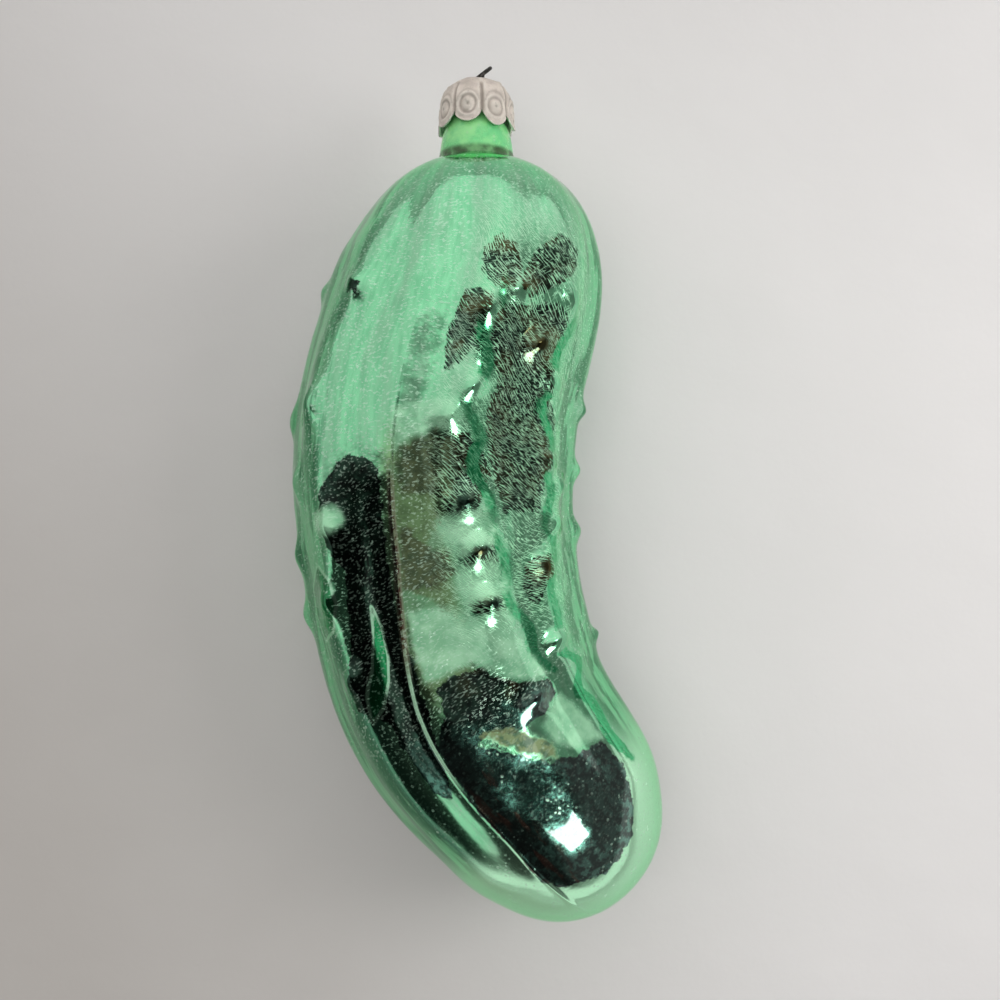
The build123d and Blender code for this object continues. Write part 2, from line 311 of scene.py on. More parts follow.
bend_curve = smooth_curve([(x * BODY_SWAY, -y * BODY_DROP) for x, y in BEND_SHARES], (0, -1), BEND_END)
bend_lengths = lengths_of(bend_curve)
BODY_LENGTH = bend_lengths[-1]
outline_curve = smooth_curve(
    [(x * BODY_LENGTH, y * BELLY_RADIUS) for x, y in OUTLINE_SHARES], (0, 1), (0, -1))


def on_the_bend(along):
    """The body's middle line and its heading at these distances from the neck's root."""
    def place(at):
        return [np.interp(at, bend_lengths, bend_curve[:, k]) for k in (0, 1)]

    inside = np.clip(along, 0, BODY_LENGTH)
    ahead = np.clip(inside + HEADING_STEP, 0, BODY_LENGTH)
    x, y = place(inside)
    (front_x, front_y), (back_x, back_y) = place(ahead), place(ahead - 2 * HEADING_STEP)
    size = np.hypot(front_x - back_x, front_y - back_y)
    heading_x = np.where(along <= 0, 0, (front_x - back_x) / size)
    heading_y = np.where(along <= 0, -1, (front_y - back_y) / size)
    return x, y - np.minimum(along, 0), heading_x, heading_y


def ridge(distance, width):
    """A soft ridge: 1 where the distance is 0, falling away over this width."""
    return np.exp(-((distance / width) ** 2))


def angle_apart(angle, other):
    """Degrees from one angle to another, the short way round."""
    return (angle - other + 180) % 360 - 180


def place_on(line, share):
    """Degrees round the body where a lengthwise line lies, at these shares of the length."""
    return np.interp(share, [p[0] for p in line], [p[1] for p in line])


def uneven(place, waves):
    """How high small random waves stand at a place."""
    return sum(height * noise.noise(place / size + Vector(shift)) for height, size, shift in waves)


def rib_fade(along):
    """0 where there are no ribs, at the neck and the blossom end, and 1 where they are full."""
    share = along / BODY_LENGTH
    grow = np.clip(share / RIB_FADE_NECK, 0, 1)
    die = np.clip((RIB_END - share) / RIB_FADE_END, 0, 1)
    return np.sin(grow * math.pi / 2) * np.sin(die * math.pi / 2)


def rib_hollow(share, angle):
    """0 on the crest of a rib and 1 in the hollow between two ribs, one row for each share."""
    lines = [place_on(line, share) for line in CRESTS]
    hollow = np.zeros((len(share), len(angle)))
    for i in range(len(share)):
        crests = [line[i] for line in lines]
        marks = [crests[-1] - 360] + crests + [crests[0] + 360]
        turned = (angle - marks[0]) % 360 + marks[0]
        hollow[i] = (1 - np.cos(2 * math.pi * np.interp(turned, marks, range(len(marks))))) / 2
    return hollow


def wart_field(along, angle, radius):
    """How high the warts stand at each place."""
    rise = np.zeros_like(along)
    for number, (share, place) in enumerate(WARTS):
        ahead = along - share * BODY_LENGTH
        aside = np.radians(angle_apart(angle, place)) * radius
        lean = WART_LEAN * math.sin(number * LEAN_STEP)
        squeeze = 1 + WART_SQUEEZE * math.cos(number * SQUEEZE_STEP)
        away = (ahead + lean * aside) ** 2 + (aside * squeeze) ** 2
        rise += np.exp(-away / (2 * WART_SPREAD**2))
    return rise


def seam_field(along, angle, radius):
    """How near each place lies to a mould seam."""
    share = along / BODY_LENGTH
    starts = np.clip((share - SEAM_START) / SEAM_FADE_START, 0, 1)
    ends = np.clip((1.0 - share) / SEAM_FADE_END, 0, 1)
    front = np.radians(angle_apart(angle, place_on(SEAM_LINE, share))) * radius
    back = np.radians(angle_apart(angle, BACK_SEAM)) * radius
    return (ridge(front, SEAM_SPREAD) + ridge(back, SEAM_SPREAD)) * (starts * ends)


def band_field(along, angle, radius):
    """How near each place lies to a green band's middle."""
    share, field = along / BODY_LENGTH, np.zeros(along.shape)
    for turned, moved in REPEATS:
        for band in BANDS:
            line = [(at + moved, place + turned) for at, place in band]
            middle = place_on(line, share) + BAND_WANDER * np.sin(share * BAND_WAVES)
            starts = np.clip((share - line[0][0]) / BAND_FADE_START, 0, 1)
            ends = np.clip((line[-1][0] - share) / BAND_FADE_END, 0, 1)
            aside = np.radians(angle_apart(angle, middle)) * radius
            field = np.maximum(field, ridge(aside, BAND_SPREAD) * (starts * ends))
    return field


def depth_inside(u, v, ends_u, ends_v):
    """How far inside a closed outline each place lies, below 0 outside it."""
    distance, inside = np.full(u.shape, 3 * PATCH_REACH), np.zeros(u.shape, bool)
    for i in range(len(ends_u)):
        u0, v0, u1, v1 = ends_u[i - 1], ends_v[i - 1], ends_u[i], ends_v[i]
        step_u, step_v = u1 - u0, v1 - v0
        t = np.clip(((u - u0) * step_u + (v - v0) * step_v) / (step_u**2 + step_v**2), 0, 1)
        distance = np.minimum(distance, np.hypot(u - u0 - t * step_u, v - v0 - t * step_v))
        crossing = (v0 > v) != (v1 > v)
        inside ^= crossing & (u < step_u * (v - v0) / (step_v if step_v else 1) + u0)
    return np.where(inside, distance, -distance)


def patch_depth(outlines, along, angle):
    """How many millimetres inside the nearest of these outlines each place lies."""
    deepest = np.full(along.shape, -PATCH_REACH)
    for turned, moved in REPEATS:
        for outline in outlines:
            corners = np.array(outline, float)
            middle = corners[:, 1].mean() + turned
            ends_u = (corners[:, 0] + moved) * BODY_LENGTH
            ends_v = np.radians(corners[:, 1] + turned - middle) * WRAP_RADIUS
            aside = np.radians(angle_apart(angle, middle)) * WRAP_RADIUS
            near = (along > ends_u.min() - PATCH_REACH) & (along < ends_u.max() + PATCH_REACH)
            near &= np.abs(aside) < np.abs(ends_v).max() + PATCH_REACH
            depth = np.clip(depth_inside(along[near], aside[near], ends_u, ends_v), -PATCH_REACH, PATCH_REACH)
            deepest[near] = np.maximum(deepest[near], depth)
    return deepest


def column_angles():
    """Angles round the body from the underside, closer together along the mould seams."""
    angles = [-180 + 360 * i / BODY_COLUMNS for i in range(BODY_COLUMNS)]
    for (start, width), count in ((SEAM_ZONE, SEAM_COLUMNS), (BACK_ZONE, BACK_COLUMNS)):
        angles += [start + width * (i + COLUMN_OFFSET) / count for i in range(count)]
    return np.array(sorted(angles))


def neck_side(inset):
    """The neck's side from its straight stretch down to the body, inset by a wall."""
    places = [(-up * NECK_HEIGHT, out * MOUTH_RADIUS - inset) for out, up in NECK_CURVE]
    return smooth_curve(places, (1, 0), NECK_FOOT, NECK_SAMPLES)


def lip_turns():
    """Turns of the lip's rounding, from its rim to its side."""
    return [math.pi / 2 * i / LIP_STEPS for i in range(LIP_STEPS + 1)]


def outer_profile():
    """Distance from the body's top and radius, from the mouth's lip to the blossom end."""
    lip = -NECK_HEIGHT + LIP_RADIUS
    places = [
        (lip - LIP_RADIUS * math.cos(turn), MOUTH_RADIUS - LIP_RADIUS + LIP_RADIUS * math.sin(turn))
        for turn in lip_turns()]
    side = neck_side(0)
    places += [(lip + (side[0, 0] - lip) * i / NECK_STEPS, MOUTH_RADIUS) for i in range(1, NECK_STEPS)]
    top_half = outline_curve[: len(outline_curve) // 2]
    meets = side[:, 1] > np.interp(side[:, 0], top_half[:, 0], top_half[:, 1])
    side = side[meets | (side[:, 0] <= 0)]
    places += picked_from(side, NECK_ROWS)
    below_foot = (outline_curve[:, 0] > side[-1, 0] + FOOT_GAP) | (outline_curve[:, 0] > BODY_LENGTH / 2)
    neck_rows = len(places)
    return np.array(places + spaced_along(outline_curve[below_foot], BODY_RINGS)), neck_rows


def inner_profile():
    """The bore of the neck and the hollow of the body, from the lip down."""
    bore = MOUTH_RADIUS - NECK_WALL
    places = [
        (-NECK_HEIGHT + LIP_RADIUS * (1 - math.cos(turn)), bore + LIP_RADIUS * (1 - math.sin(turn)))
        for turn in lip_turns()]
    side = neck_side(NECK_WALL)
    side = side[side[:, 0] < BORE_END]
    places += picked_from(side, BORE_ROWS)
    step = np.diff(outline_curve, axis=0)
    step /= np.linalg.norm(step, axis=1)[:, None]
    inset = outline_curve[:-1] + GLASS_WALL * np.stack([step[:, 1], -step[:, 0]], 1)
    inset = inset[(inset[:, 1] > side[-1, 1] + BORE_STEP) | (inset[:, 0] > BODY_LENGTH / 2)]
    inset = inset[inset[:, 1] > 0]
    return np.array(places + spaced_along(inset, HOLLOW_RINGS)), len(places)


def skin(profile, angles, outside):
    """Points of a skin round the middle line, one row for each place in the profile. The
    outside also has warts, seams and ripples, and values for its material."""
    along, radius = (np.repeat(profile[:, k][:, None], len(angles), 1) for k in (0, 1))
    angle = np.repeat(angles[None, :], len(profile), 0)
    fade = rib_fade(np.clip(along, 0, BODY_LENGTH)) * (along > 0)
    out = radius - RIB_DEPTH * fade * rib_hollow(profile[:, 0] / BODY_LENGTH, angles)
    values = {}
    if outside:
        values = {name: patch_depth(outlines, along, angle) for name, outlines in PATCHES.items()}
        values["band"] = band_field(along, angle, radius)
        values["wart"] = wart_field(along, angle, radius) * (along > 0)
        values["seam"] = seam_field(along, angle, radius)
        out = out + WART_HEIGHT * values["wart"] + SEAM_HEIGHT * values["seam"]
    x, y, heading_x, heading_y = on_the_bend(along)
    turn = np.radians(angle)
    normal = np.stack([-heading_y * np.sin(turn), heading_x * np.sin(turn), np.cos(turn)], -1)
    points = np.stack([x, y, np.zeros_like(x)], -1) + normal * out[..., None]
    if outside:
        ripple = np.zeros(along.shape)
        for i, j in np.argwhere(along >= RIPPLE_START):
            ripple[i, j] = uneven(Vector(points[i, j]), GLASS_RIPPLES)
        grown = np.clip((along - RIPPLE_START) / RIPPLE_GROWTH, 0, 1)
        points = points + normal * (ripple * grown * np.clip(fade, RIPPLE_LEAST, 1))[..., None]
    return points, along, angle, values


def into_frame(points):
    """Points in millimetres from the body's top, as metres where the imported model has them."""
    return (np.asarray(points, float) + np.array(SHIFT)) * MM


def put_in_scene(name, data):
    """A new object of this mesh, lamp or camera."""
    made = bpy.data.objects.new(name, data)
    bpy.context.scene.collection.objects.link(made)
    return made


def new_object(name, points, faces):
    """A smoothly shaded mesh in the scene, from points in millimetres."""
    mesh = bpy.data.meshes.new(name)
    mesh.from_pydata([tuple(p) for p in into_frame(points)], [], faces)
    mesh.validate()
    mesh.update()
    mesh.polygons.foreach_set("use_smooth", [True] * len(mesh.polygons))
    return put_in_scene(name, mesh)


def ring_faces(first, rows, columns):
    """Faces between rings of points, each ring joined to the next one."""
    faces = []
    for i in range(rows - 1):
        for j in range(columns):
            a, b = first + i * columns + j, first + i * columns + (j + 1) % columns
            faces.append((a, b, b + columns, a + columns))
    return faces


def give_values(made, name, values):
    """Keeps one value on each point of a mesh, for its material."""
    kept = made.data.attributes.new(name, "FLOAT", "POINT")
    kept.data.foreach_set("value", np.asarray(values, np.float32).ravel())


def whole_numbers(items, name):
    """One whole number of each corner or face of a mesh."""
    numbers = np.zeros(len(items), np.int32)
    items.foreach_get(name, numbers)
    return numbers


def wrap_map(mesh, along, angle):
    """Lays a map round the glass: along the body one way and round it the other way."""
    corners = whole_numbers(mesh.loops, "vertex_index")
    starts = whole_numbers(mesh.polygons, "loop_start")
    face_of = np.repeat(np.arange(len(starts)), whole_numbers(mesh.polygons, "loop_total"))
    turned = angle[corners]
    low, high = np.minimum.reduceat(turned, starts), np.maximum.reduceat(turned, starts)
    across_the_join = (high - low > 180)[face_of] & (turned < 0)
    turned = np.where(across_the_join, turned + 360, turned)
    uv = np.stack([along[corners], np.radians(turned) * WRAP_RADIUS], 1) / WRAP_UNIT
    mesh.uv_layers.new(name="wrap").data.foreach_set("uv", uv.astype(np.float32).ravel())


def pickle_glass(materials):
    """The blown glass: outside, lip, bore and hollow in one closed skin."""
    angles = column_angles()
    columns = len(angles)
    (outside, neck_rows), (inside, bore_rows) = outer_profile(), inner_profile()
    outer, outer_along, outer_angle, values = skin(outside, angles, True)
    inner, inner_along, inner_angle, _ = skin(inside, angles, False)
    x, y, heading_x, heading_y = (float(part) for part in on_the_bend(np.array(BODY_LENGTH)))
    tips = [(x, y, 0), (x - heading_x * GLASS_WALL, y - heading_y * GLASS_WALL, 0)]
    points = np.concatenate([outer.reshape(-1, 3), inner.reshape(-1, 3), tips])
    # A skin has as many faces as it has points before its last ring
    last_outer, inner_faces = (len(outside) - 1) * columns, (len(inside) - 1) * columns
    first = last_outer + columns
    last_inner = first + inner_faces
    faces = [tuple(reversed(f)) for f in ring_faces(0, len(outside), columns)]
    faces += ring_faces(first, len(inside), columns)
    pairs = [(j, (j + 1) % columns) for j in range(columns)]
    faces += [(j, after, first + after, first + j) for j, after in pairs]
    for j, after in pairs:
        faces.append((last_outer + after, last_outer + j, len(points) - 2))
        faces.append((last_inner + j, last_inner + after, len(points) - 1))
    made = new_object("pickle_glass", points, faces)
    blank = np.zeros(inner_along.size + len(tips))
    for name, value in values.items():
        give_values(made, name, np.concatenate([value.ravel(), blank]))
    along = np.concatenate([outer_along.ravel(), inner_along.ravel(), [BODY_LENGTH] * len(tips)])
    angle = np.concatenate([outer_angle.ravel(), inner_angle.ravel(), [0] * len(tips)])
    give_values(made, "along", along)
    give_values(made, "round", angle)
    wrap_map(made.data, along, angle)
    for material in materials:
        made.data.materials.append(material)
    # The faces lie in this order: outside, inside, lip, then the two tips by turns
    lacquer, neck, silver = 0, 1, 2
    lip = last_outer + inner_faces
    slots = np.full(len(faces), lacquer, np.int32)
    slots[: (neck_rows - 1) * columns] = neck
    slots[last_outer:lip] = silver
    slots[last_outer : last_outer + bore_rows * columns] = neck
    slots[lip : lip + columns] = neck
    slots[lip + columns + 1 :: 2] = silver
    made.data.polygons.foreach_set("material_index", slots)
    return made


def petal_edge(aside, half):
    """How far above the petal's tip its round edge lies, by the distance from its middle."""
    share = np.clip(np.abs(aside) / half, 0, 1)
    arc = 1 - np.sqrt(np.clip(1 - share**ARC_POWER, 0, 1))
    return PETAL_DEPTH * (ARC_PART * arc + SLOPE_PART * share**SLOPE_POWER)


def cap_rows(edge):
    """Rows of the plain cap from the petals' edge to the middle of its top: distance up from
    the petals' tips, radius, height, and how far the sheet has turned over the dome."""
    wall_top, tip = CAP_TOP - CAP_SHOULDER, CAP_TOP - CAP_HEIGHT
    wall = wall_top - tip
    rows = []
    for i in range(WALL_ROWS):
        up = edge + (wall - edge) * i / WALL_ROWS
        rows.append((up, CAP_RADIUS, tip + up, 0))
    for i in range(DOME_ROWS):
        turn = math.pi / 2 * i / DOME_ROWS
        inward, rise = CAP_SHOULDER * (1 - math.cos(turn)), CAP_SHOULDER * math.sin(turn)
        rows.append((wall + CAP_SHOULDER * turn, CAP_RADIUS - inward, wall_top + rise, turn))
    for i in range(TOP_ROWS):
        radius = (CAP_RADIUS - CAP_SHOULDER) * (1 - i / TOP_ROWS)
        rows.append((wall + CAP_SHOULDER * math.pi / 2, radius, CAP_TOP, math.pi / 2))
    return [np.array([np.broadcast_to(row[k], edge.shape) for row in rows]) for k in range(4)]


def petal_marks(up, aside, from_gap, drop, edge):
    """Where each mark of the stamping lies, from 0 to 1."""
    away = np.hypot(aside, (up - BUTTON_UP + drop / 2) * BUTTON_SQUASH)
    bead_up = CAP_HEIGHT - CAP_SHOULDER + CAP_SHOULDER * math.radians(BEAD_TURN)
    creased = np.clip((bead_up - CREASE_CLEAR - up) / CREASE_FADE, 0, 1)
    from_bead = np.hypot(from_gap, up - bead_up)
    from_arch = np.hypot(aside, (up - ARCH_MIDDLE) * ARCH_SQUASH) - ARCH_RADIUS
    return {
        "ring": ridge(away - RING_RADIUS, RING_WIDTH),
        "button": np.sqrt(np.clip(1 - (away / BUTTON_RADIUS) ** 2, 0, 1)),
        "dimple": ridge(away, DIMPLE_WIDTH),
        "crease": ridge(from_gap, CREASE_WIDTH) * creased,
        "flank": ridge(from_gap - FLANK_PLACE, FLANK_WIDTH) * creased,
        "bead": np.sqrt(np.clip(1 - (from_bead / BEAD_RADIUS) ** 2, 0, 1)),
        "groove": ridge(away - GROOVE_RADIUS, GROOVE_WIDTH),
        "arch": ridge(from_arch, ARCH_WIDTH) * (up > ARCH_UP),
        "edge roll": ridge(up - edge, EDGE_ROLL_WIDTH),
    }


def cap_faces(rows, columns, open_point):
    """Faces of the cap's two skins, which the petals' edge, the two middle points and the
    walls of the wire holes join into one."""
    first = rows * columns
    cut, faces = {}, []
    for face in ring_faces(0, rows, columns):
        if any(open_point[v] for v in face):
            cut.update(dict.fromkeys(zip(face, face[1:] + face[:1])))
        else:
            faces.append(face)
    faces += [tuple(v + first for v in reversed(face)) for face in faces]
    faces += [(a, b, b + first, a + first) for a, b in cut if (b, a) not in cut]
    last_outer, last_inner = first - columns, 2 * first - columns
    for j in range(columns):
        after = (j + 1) % columns
        faces.append((after, j, first + j, first + after))
        faces.append((last_outer + j, last_outer + after, 2 * first))
        faces.append((last_inner + after, last_inner + j, 2 * first + 1))
    return faces


def petal_cap(material):
    """The stamped cap: a dome with round petals, each with a ring and a button, and two holes."""
    pitch = 360 / PETALS
    columns = PETALS * CAP_COLUMNS
    angles = np.array([PETAL_GAP_START + pitch * j / CAP_COLUMNS for j in range(columns)])
    half = math.radians(pitch / 2) * CAP_RADIUS
    number = np.arange(columns) // CAP_COLUMNS
    petal = (np.arange(columns) % CAP_COLUMNS / CAP_COLUMNS * 2 - 1) * half
    drop, splay = np.array(PETAL_DROPS)[number], np.array(PETAL_SPLAYS)[number]
    edge = petal_edge(petal, half) - drop * (1 - (petal / half) ** 2)
    up, radius, height, over = cap_rows(edge)
    turned = np.broadcast_to(np.radians(angles), up.shape)
    aside = petal * radius / CAP_RADIUS
    marks = petal_marks(up, aside, half * radius / CAP_RADIUS - np.abs(aside), drop, edge)
    # The stamping's heights, its painted highlights and its painted shade
    stamped, bright, grimy = (
        sum(STAMPS[name][k] * mark for name, mark in marks.items()) for k in range(3))
    stamped = stamped + splay * np.clip(1 - up / SPLAY_UP, 0, 1) ** SPLAY_POWER
    dents = np.zeros(up.shape)
    for i, j in np.ndindex(up.shape):
        across, forward = radius[i, j] * math.sin(turned[i, j]), radius[i, j] * math.cos(turned[i, j])
        dents[i, j] = uneven(Vector((across, height[i, j], forward)), CAP_DENTS)
    dents *= np.clip((radius - DENTS_START) / DENTS_GROWTH, 0, 1)
    push = np.where(over < FLAT_TURN, stamped, 0) - CAP_SINK + dents

    def sheet_skin(push):
        out, lift = radius + push * np.cos(over), height + push * np.sin(over)
        return np.stack([out * np.sin(turned), lift, out * np.cos(turned)], -1)

    outer, inner = sheet_skin(push), sheet_skin(push - CAP_SHEET)
    middles = [(0, CAP_TOP - CAP_SINK, 0), (0, CAP_TOP - CAP_SINK - CAP_SHEET, 0)]
    points = np.concatenate([outer.reshape(-1, 3), inner.reshape(-1, 3), middles])
    holes = [loop_point(side * LOOP_WIDTH / 2, 0, CAP_TOP) for side in (-1, 1)]
    nearest = np.min([np.hypot(outer[..., 0] - hole.x, outer[..., 2] - hole.z) for hole in holes], 0)
    open_point = (nearest < HOLE_RADIUS) & (over > HOLE_TURN)
    faces = cap_faces(len(up), columns, open_point.ravel())
    used = sorted({v for face in faces for v in face})
    place_of = {v: i for i, v in enumerate(used)}
    made = new_object("petal_cap", points[used], [tuple(place_of[v] for v in face) for face in faces])
    blank = np.zeros(up.size)
    values = {
        "raised": [np.clip(bright, 0, 1).ravel(), blank, [0, 0]],
        "sunk": [np.clip(grimy, 0, 1).ravel(), blank, [0, 0]],
        "inside": [blank, blank + 1, [0, 1]],
    }
    for name, parts in values.items():
        give_values(made, name, np.concatenate(parts)[used])
    made.data.materials.append(material)
    return made


def loop_point(across, aside, height):
    """A point of the hanger, from its place across the loop, beside the loop and up."""
    turn = math.radians(LOOP_TURN)
    return Vector((
        across * math.sin(turn) + aside * math.cos(turn), height,
        across * math.cos(turn) - aside * math.sin(turn)))


def rounded_path(points, radii):
    """A run of points with its corners rounded to these radii."""
    path = [points[0]]
    for before, corner, after, radius in zip(points, points[1:], points[2:], radii):
        back, ahead = (before - corner).normalized(), (after - corner).normalized()
        opening = back.angle(ahead)
        reach = radius / math.tan(opening / 2)
        middle = corner + (back + ahead).normalized() * (radius / math.sin(opening / 2))
        a, b = corner + back * reach - middle, corner + ahead * reach - middle
        swing = a.angle(b)
        for i in range(BEND_STEPS + 1):
            t = i / BEND_STEPS
            path.append(middle + (a * math.sin((1 - t) * swing) + b * math.sin(t * swing)) / math.sin(swing))
    path.append(points[-1])
    return path


def wire_rings(path):
    """Rings of the wire along its path, with domed ends: place, heading, side and radius."""
    rings, aside = [], (path[1] - path[0]).normalized().orthogonal()
    for i, place in enumerate(path):
        heading = (path[min(i + 1, len(path) - 1)] - path[max(i - 1, 0)]).normalized()
        aside = (aside - heading * aside.dot(heading)).normalized()
        rings.append((place, heading, aside, WIRE_RADIUS))
    domes = []
    for sign, (place, heading, aside, radius) in ((-1, rings[0]), (1, rings[-1])):
        domes.append([
            (place + heading * sign * END_DOME * math.sin(turn), heading, aside, radius * math.cos(turn))
            for turn in END_TURNS])
    return domes[0][::-1] + rings + domes[1]


def hanging_wire(material):
    """The sprung wire: a loop above the cap and two legs that press on the neck's bore."""
    near, lean, bend = LOOP_WIDTH / 2, math.radians(LOOP_LEAN), CAP_TOP + LOOP_RISE
    half = [
        (LEG_WIDE - LEG_TOE, 0, CAP_TOP - TOE_END), (LEG_WIDE, 0, CAP_TOP - TOE_TOP),
        (LEG_WIDE, 0, CAP_TOP - LEG_TOP), (near, 0, CAP_TOP - LEG_IN), (near, 0, bend),
        (near, LOOP_HEIGHT * math.sin(lean), bend + LOOP_HEIGHT * math.cos(lean)),
    ]
    points = [loop_point(-a, b, c) for a, b, c in half] + [loop_point(a, b, c) for a, b, c in reversed(half)]
    radii = [LEG_BEND, LEG_BEND, LEG_BEND, HOLE_BEND, near - LOOP_FLAT]
    rings = wire_rings(rounded_path(points, radii + radii[::-1]))
    vertices = []
    for place, heading, aside, radius in rings:
        other = heading.cross(aside)
        for j in range(WIRE_SIDES):
            turn = 2 * math.pi * j / WIRE_SIDES
            vertices.append(place + (aside * math.cos(turn) + other * math.sin(turn)) * radius)
    faces = ring_faces(0, len(rings), WIRE_SIDES)
    faces.append(tuple(reversed(range(WIRE_SIDES))))
    faces.append(tuple(range(len(vertices) - WIRE_SIDES, len(vertices))))
    made = new_object("hanging_wire", vertices, faces)
    made.data.materials.append(material)
    return made


class Nodes:
    """Short words for placing and joining shader nodes."""

    def __init__(self, tree, groups=None):
        self.tree, self.groups = tree, groups

    def add(self, kind, inputs=None, **settings):
        made = self.tree.nodes.new(kind)
        for name, value in settings.items():
            setattr(made, name, value)
        for name, value in (inputs or {}).items():
            self.feed(made.inputs[name], value)
        return made

    def feed(self, socket, value):
        """Joins a socket to another one, or sets its value. Colours are red, green and blue."""
        if isinstance(value, bpy.types.NodeSocket):
            self.tree.links.new(value, socket)
        else:
            socket.default_value = (*value, 1) if socket.type == "RGBA" else value

    def maths(self, operation, a, b=0.0, clamp=False):
        return self.add("ShaderNodeMath", {0: a, 1: b}, operation=operation, use_clamp=clamp).outputs[0]

    def chain(self, operation, result, *others):
        for other in others:
            result = self.maths(operation, result, other)
        return result

    def times(self, *values):
        return self.chain("MULTIPLY", *values)

    def plus(self, *values):
        return self.chain("ADD", *values)

    def most(self, *values):
        return self.chain("MAXIMUM", *values)

    def less(self, a, b):
        return self.maths("SUBTRACT", a, b)

    def vector(self, operation, a, inputs):
        return self.add("ShaderNodeVectorMath", {0: a, **inputs}, operation=operation).outputs["Vector"]

    def ramp(self, value, low, high, out_low=0.0, out_high=1.0, kind="SMOOTHSTEP"):
        made = self.add(
            "ShaderNodeMapRange",
            {"Value": value, "From Min": low, "From Max": high, "To Min": out_low, "To Max": out_high},
            interpolation_type=kind)
        return made.outputs["Result"]

    def between(self, share, a, b):
        """The value a where the share is 0, b where it is 1."""
        return self.ramp(share, 0, 1, a, b)

    def window(self, value, low, high, soft):
        """1 where the value lies from low to high, with soft edges."""
        starts, ends = self.ramp(value, low - soft, low + soft), self.ramp(value, high + soft, high - soft)
        return self.times(starts, ends)

    def blend(self, share, a, b):
        """The colour a where the share is 0, b where it is 1."""
        return self.add(
            "ShaderNodeMix", {"Factor": share, "A": a, "B": b}, data_type="RGBA").outputs["Result"]

    def layered(self, colour, layers):
        """Layers over a colour: where each one lies, how much it covers there, and its colour."""
        for where, cover, tint in layers:
            colour = self.blend(self.times(where, cover), colour, tint)
        return colour

    def value_of(self, name):
        return self.add("ShaderNodeAttribute", attribute_name=name).outputs["Fac"]

    def noise(self, place, scale, detail):
        return self.add("ShaderNodeTexNoise", {"Vector": place, "Scale": scale, "Detail": detail}).outputs

    def place(self):
        """The surface's own coordinates, in millimetres."""
        spot = self.add("ShaderNodeTexCoord").outputs["Object"]
        return self.vector("SCALE", spot, {"Scale": 1 / MM})

    def wrap(self):
        """Distance along the body and round it, in millimetres."""
        spot = self.add("ShaderNodeUVMap", uv_map="wrap").outputs["UV"]
        return self.vector("SCALE", spot, {"Scale": WRAP_UNIT})

    def shared(self, name, place, **values):
        """The mask of a shared group of nodes, with its own values."""
        made = self.add("ShaderNodeGroup", node_tree=self.groups[name])
        for label, value in {"Place": place, **values}.items():
            self.feed(made.inputs[label], value)
        return made.outputs["Mask"]

    def blotch(self, place, size, middle, softness):
        return self.shared("blotches", place, Size=size, Middle=middle, Softness=softness)

    def flecks(self, place, spacing, cover):
        return self.shared("flecks", place, Spacing=spacing, Cover=cover)

    def strokes(self, place, length, width, swirl, turn, cover):
        return self.shared(
            "strokes", place, Length=length, Width=width, Swirl=swirl, Turn=turn, Cover=cover)

    def bump(self, shader, height, strength, depth):
        """Heights from 0 to 1 that stand out by this many millimetres."""
        made = self.add("ShaderNodeBump", {"Height": height, "Strength": strength, "Distance": depth * MM})
        self.feed(shader["Normal"], made.outputs[0])


def new_group(name, values):
    """A group of nodes that makes a mask from a place and these named values."""
    tree = bpy.data.node_groups.new(name, "ShaderNodeTree")
    tree.interface.new_socket("Place", in_out="INPUT", socket_type="NodeSocketVector")
    for label, value in values.items():
        socket = tree.interface.new_socket(label, in_out="INPUT", socket_type="NodeSocketFloat")
        socket.default_value = value
    tree.interface.new_socket("Mask", in_out="OUTPUT", socket_type="NodeSocketFloat")
    nodes = Nodes(tree)
    return tree, nodes, nodes.add("NodeGroupInput").outputs, nodes.add("NodeGroupOutput").inputs["Mask"]


SWIRL_SCALE, CUT_HIGHEST, CUT_RANGE, CUT_SOFTNESS = 0.13, 0.70, 0.32, 0.16
SMALLEST_FLECK, LARGEST_FLECK = 0.22, 0.42    # radius, as a share of the spacing


def brushed_strokes():
    """Short strokes that follow each other in gentle arcs."""
    tree, nodes, given, mask = new_group(
        "brushed_strokes", {"Length": 0.6, "Width": 0.15, "Swirl": 3.0, "Turn": 0.0, "Cover": 0.5})
    swirl = nodes.noise(given["Place"], SWIRL_SCALE, 0.0)["Color"]
    centred = nodes.vector("SUBTRACT", swirl, {1: (0.5, 0.5, 0.5)})
    pushed = nodes.vector("SCALE", centred, {"Scale": given["Swirl"]})
    moved = nodes.vector("ADD", given["Place"], {1: pushed})
    turned = nodes.add(
        "ShaderNodeVectorRotate", {"Vector": moved, "Angle": given["Turn"]}, rotation_type="Z_AXIS")
    parts = nodes.add("ShaderNodeSeparateXYZ", {"Vector": turned.outputs[0]}).outputs
    stretched = nodes.add("ShaderNodeCombineXYZ", {
        "X": nodes.maths("DIVIDE", parts["X"], given["Length"]),
        "Y": nodes.maths("DIVIDE", parts["Y"], given["Width"]), "Z": given["Turn"]})
    grain = nodes.noise(stretched.outputs[0], 1.0, 0.0)["Fac"]
    # The more the strokes cover, the lower the grain is cut off
    low = nodes.less(CUT_HIGHEST, nodes.times(given["Cover"], CUT_RANGE))
    nodes.feed(mask, nodes.ramp(grain, low, nodes.plus(low, CUT_SOFTNESS)))
    return tree


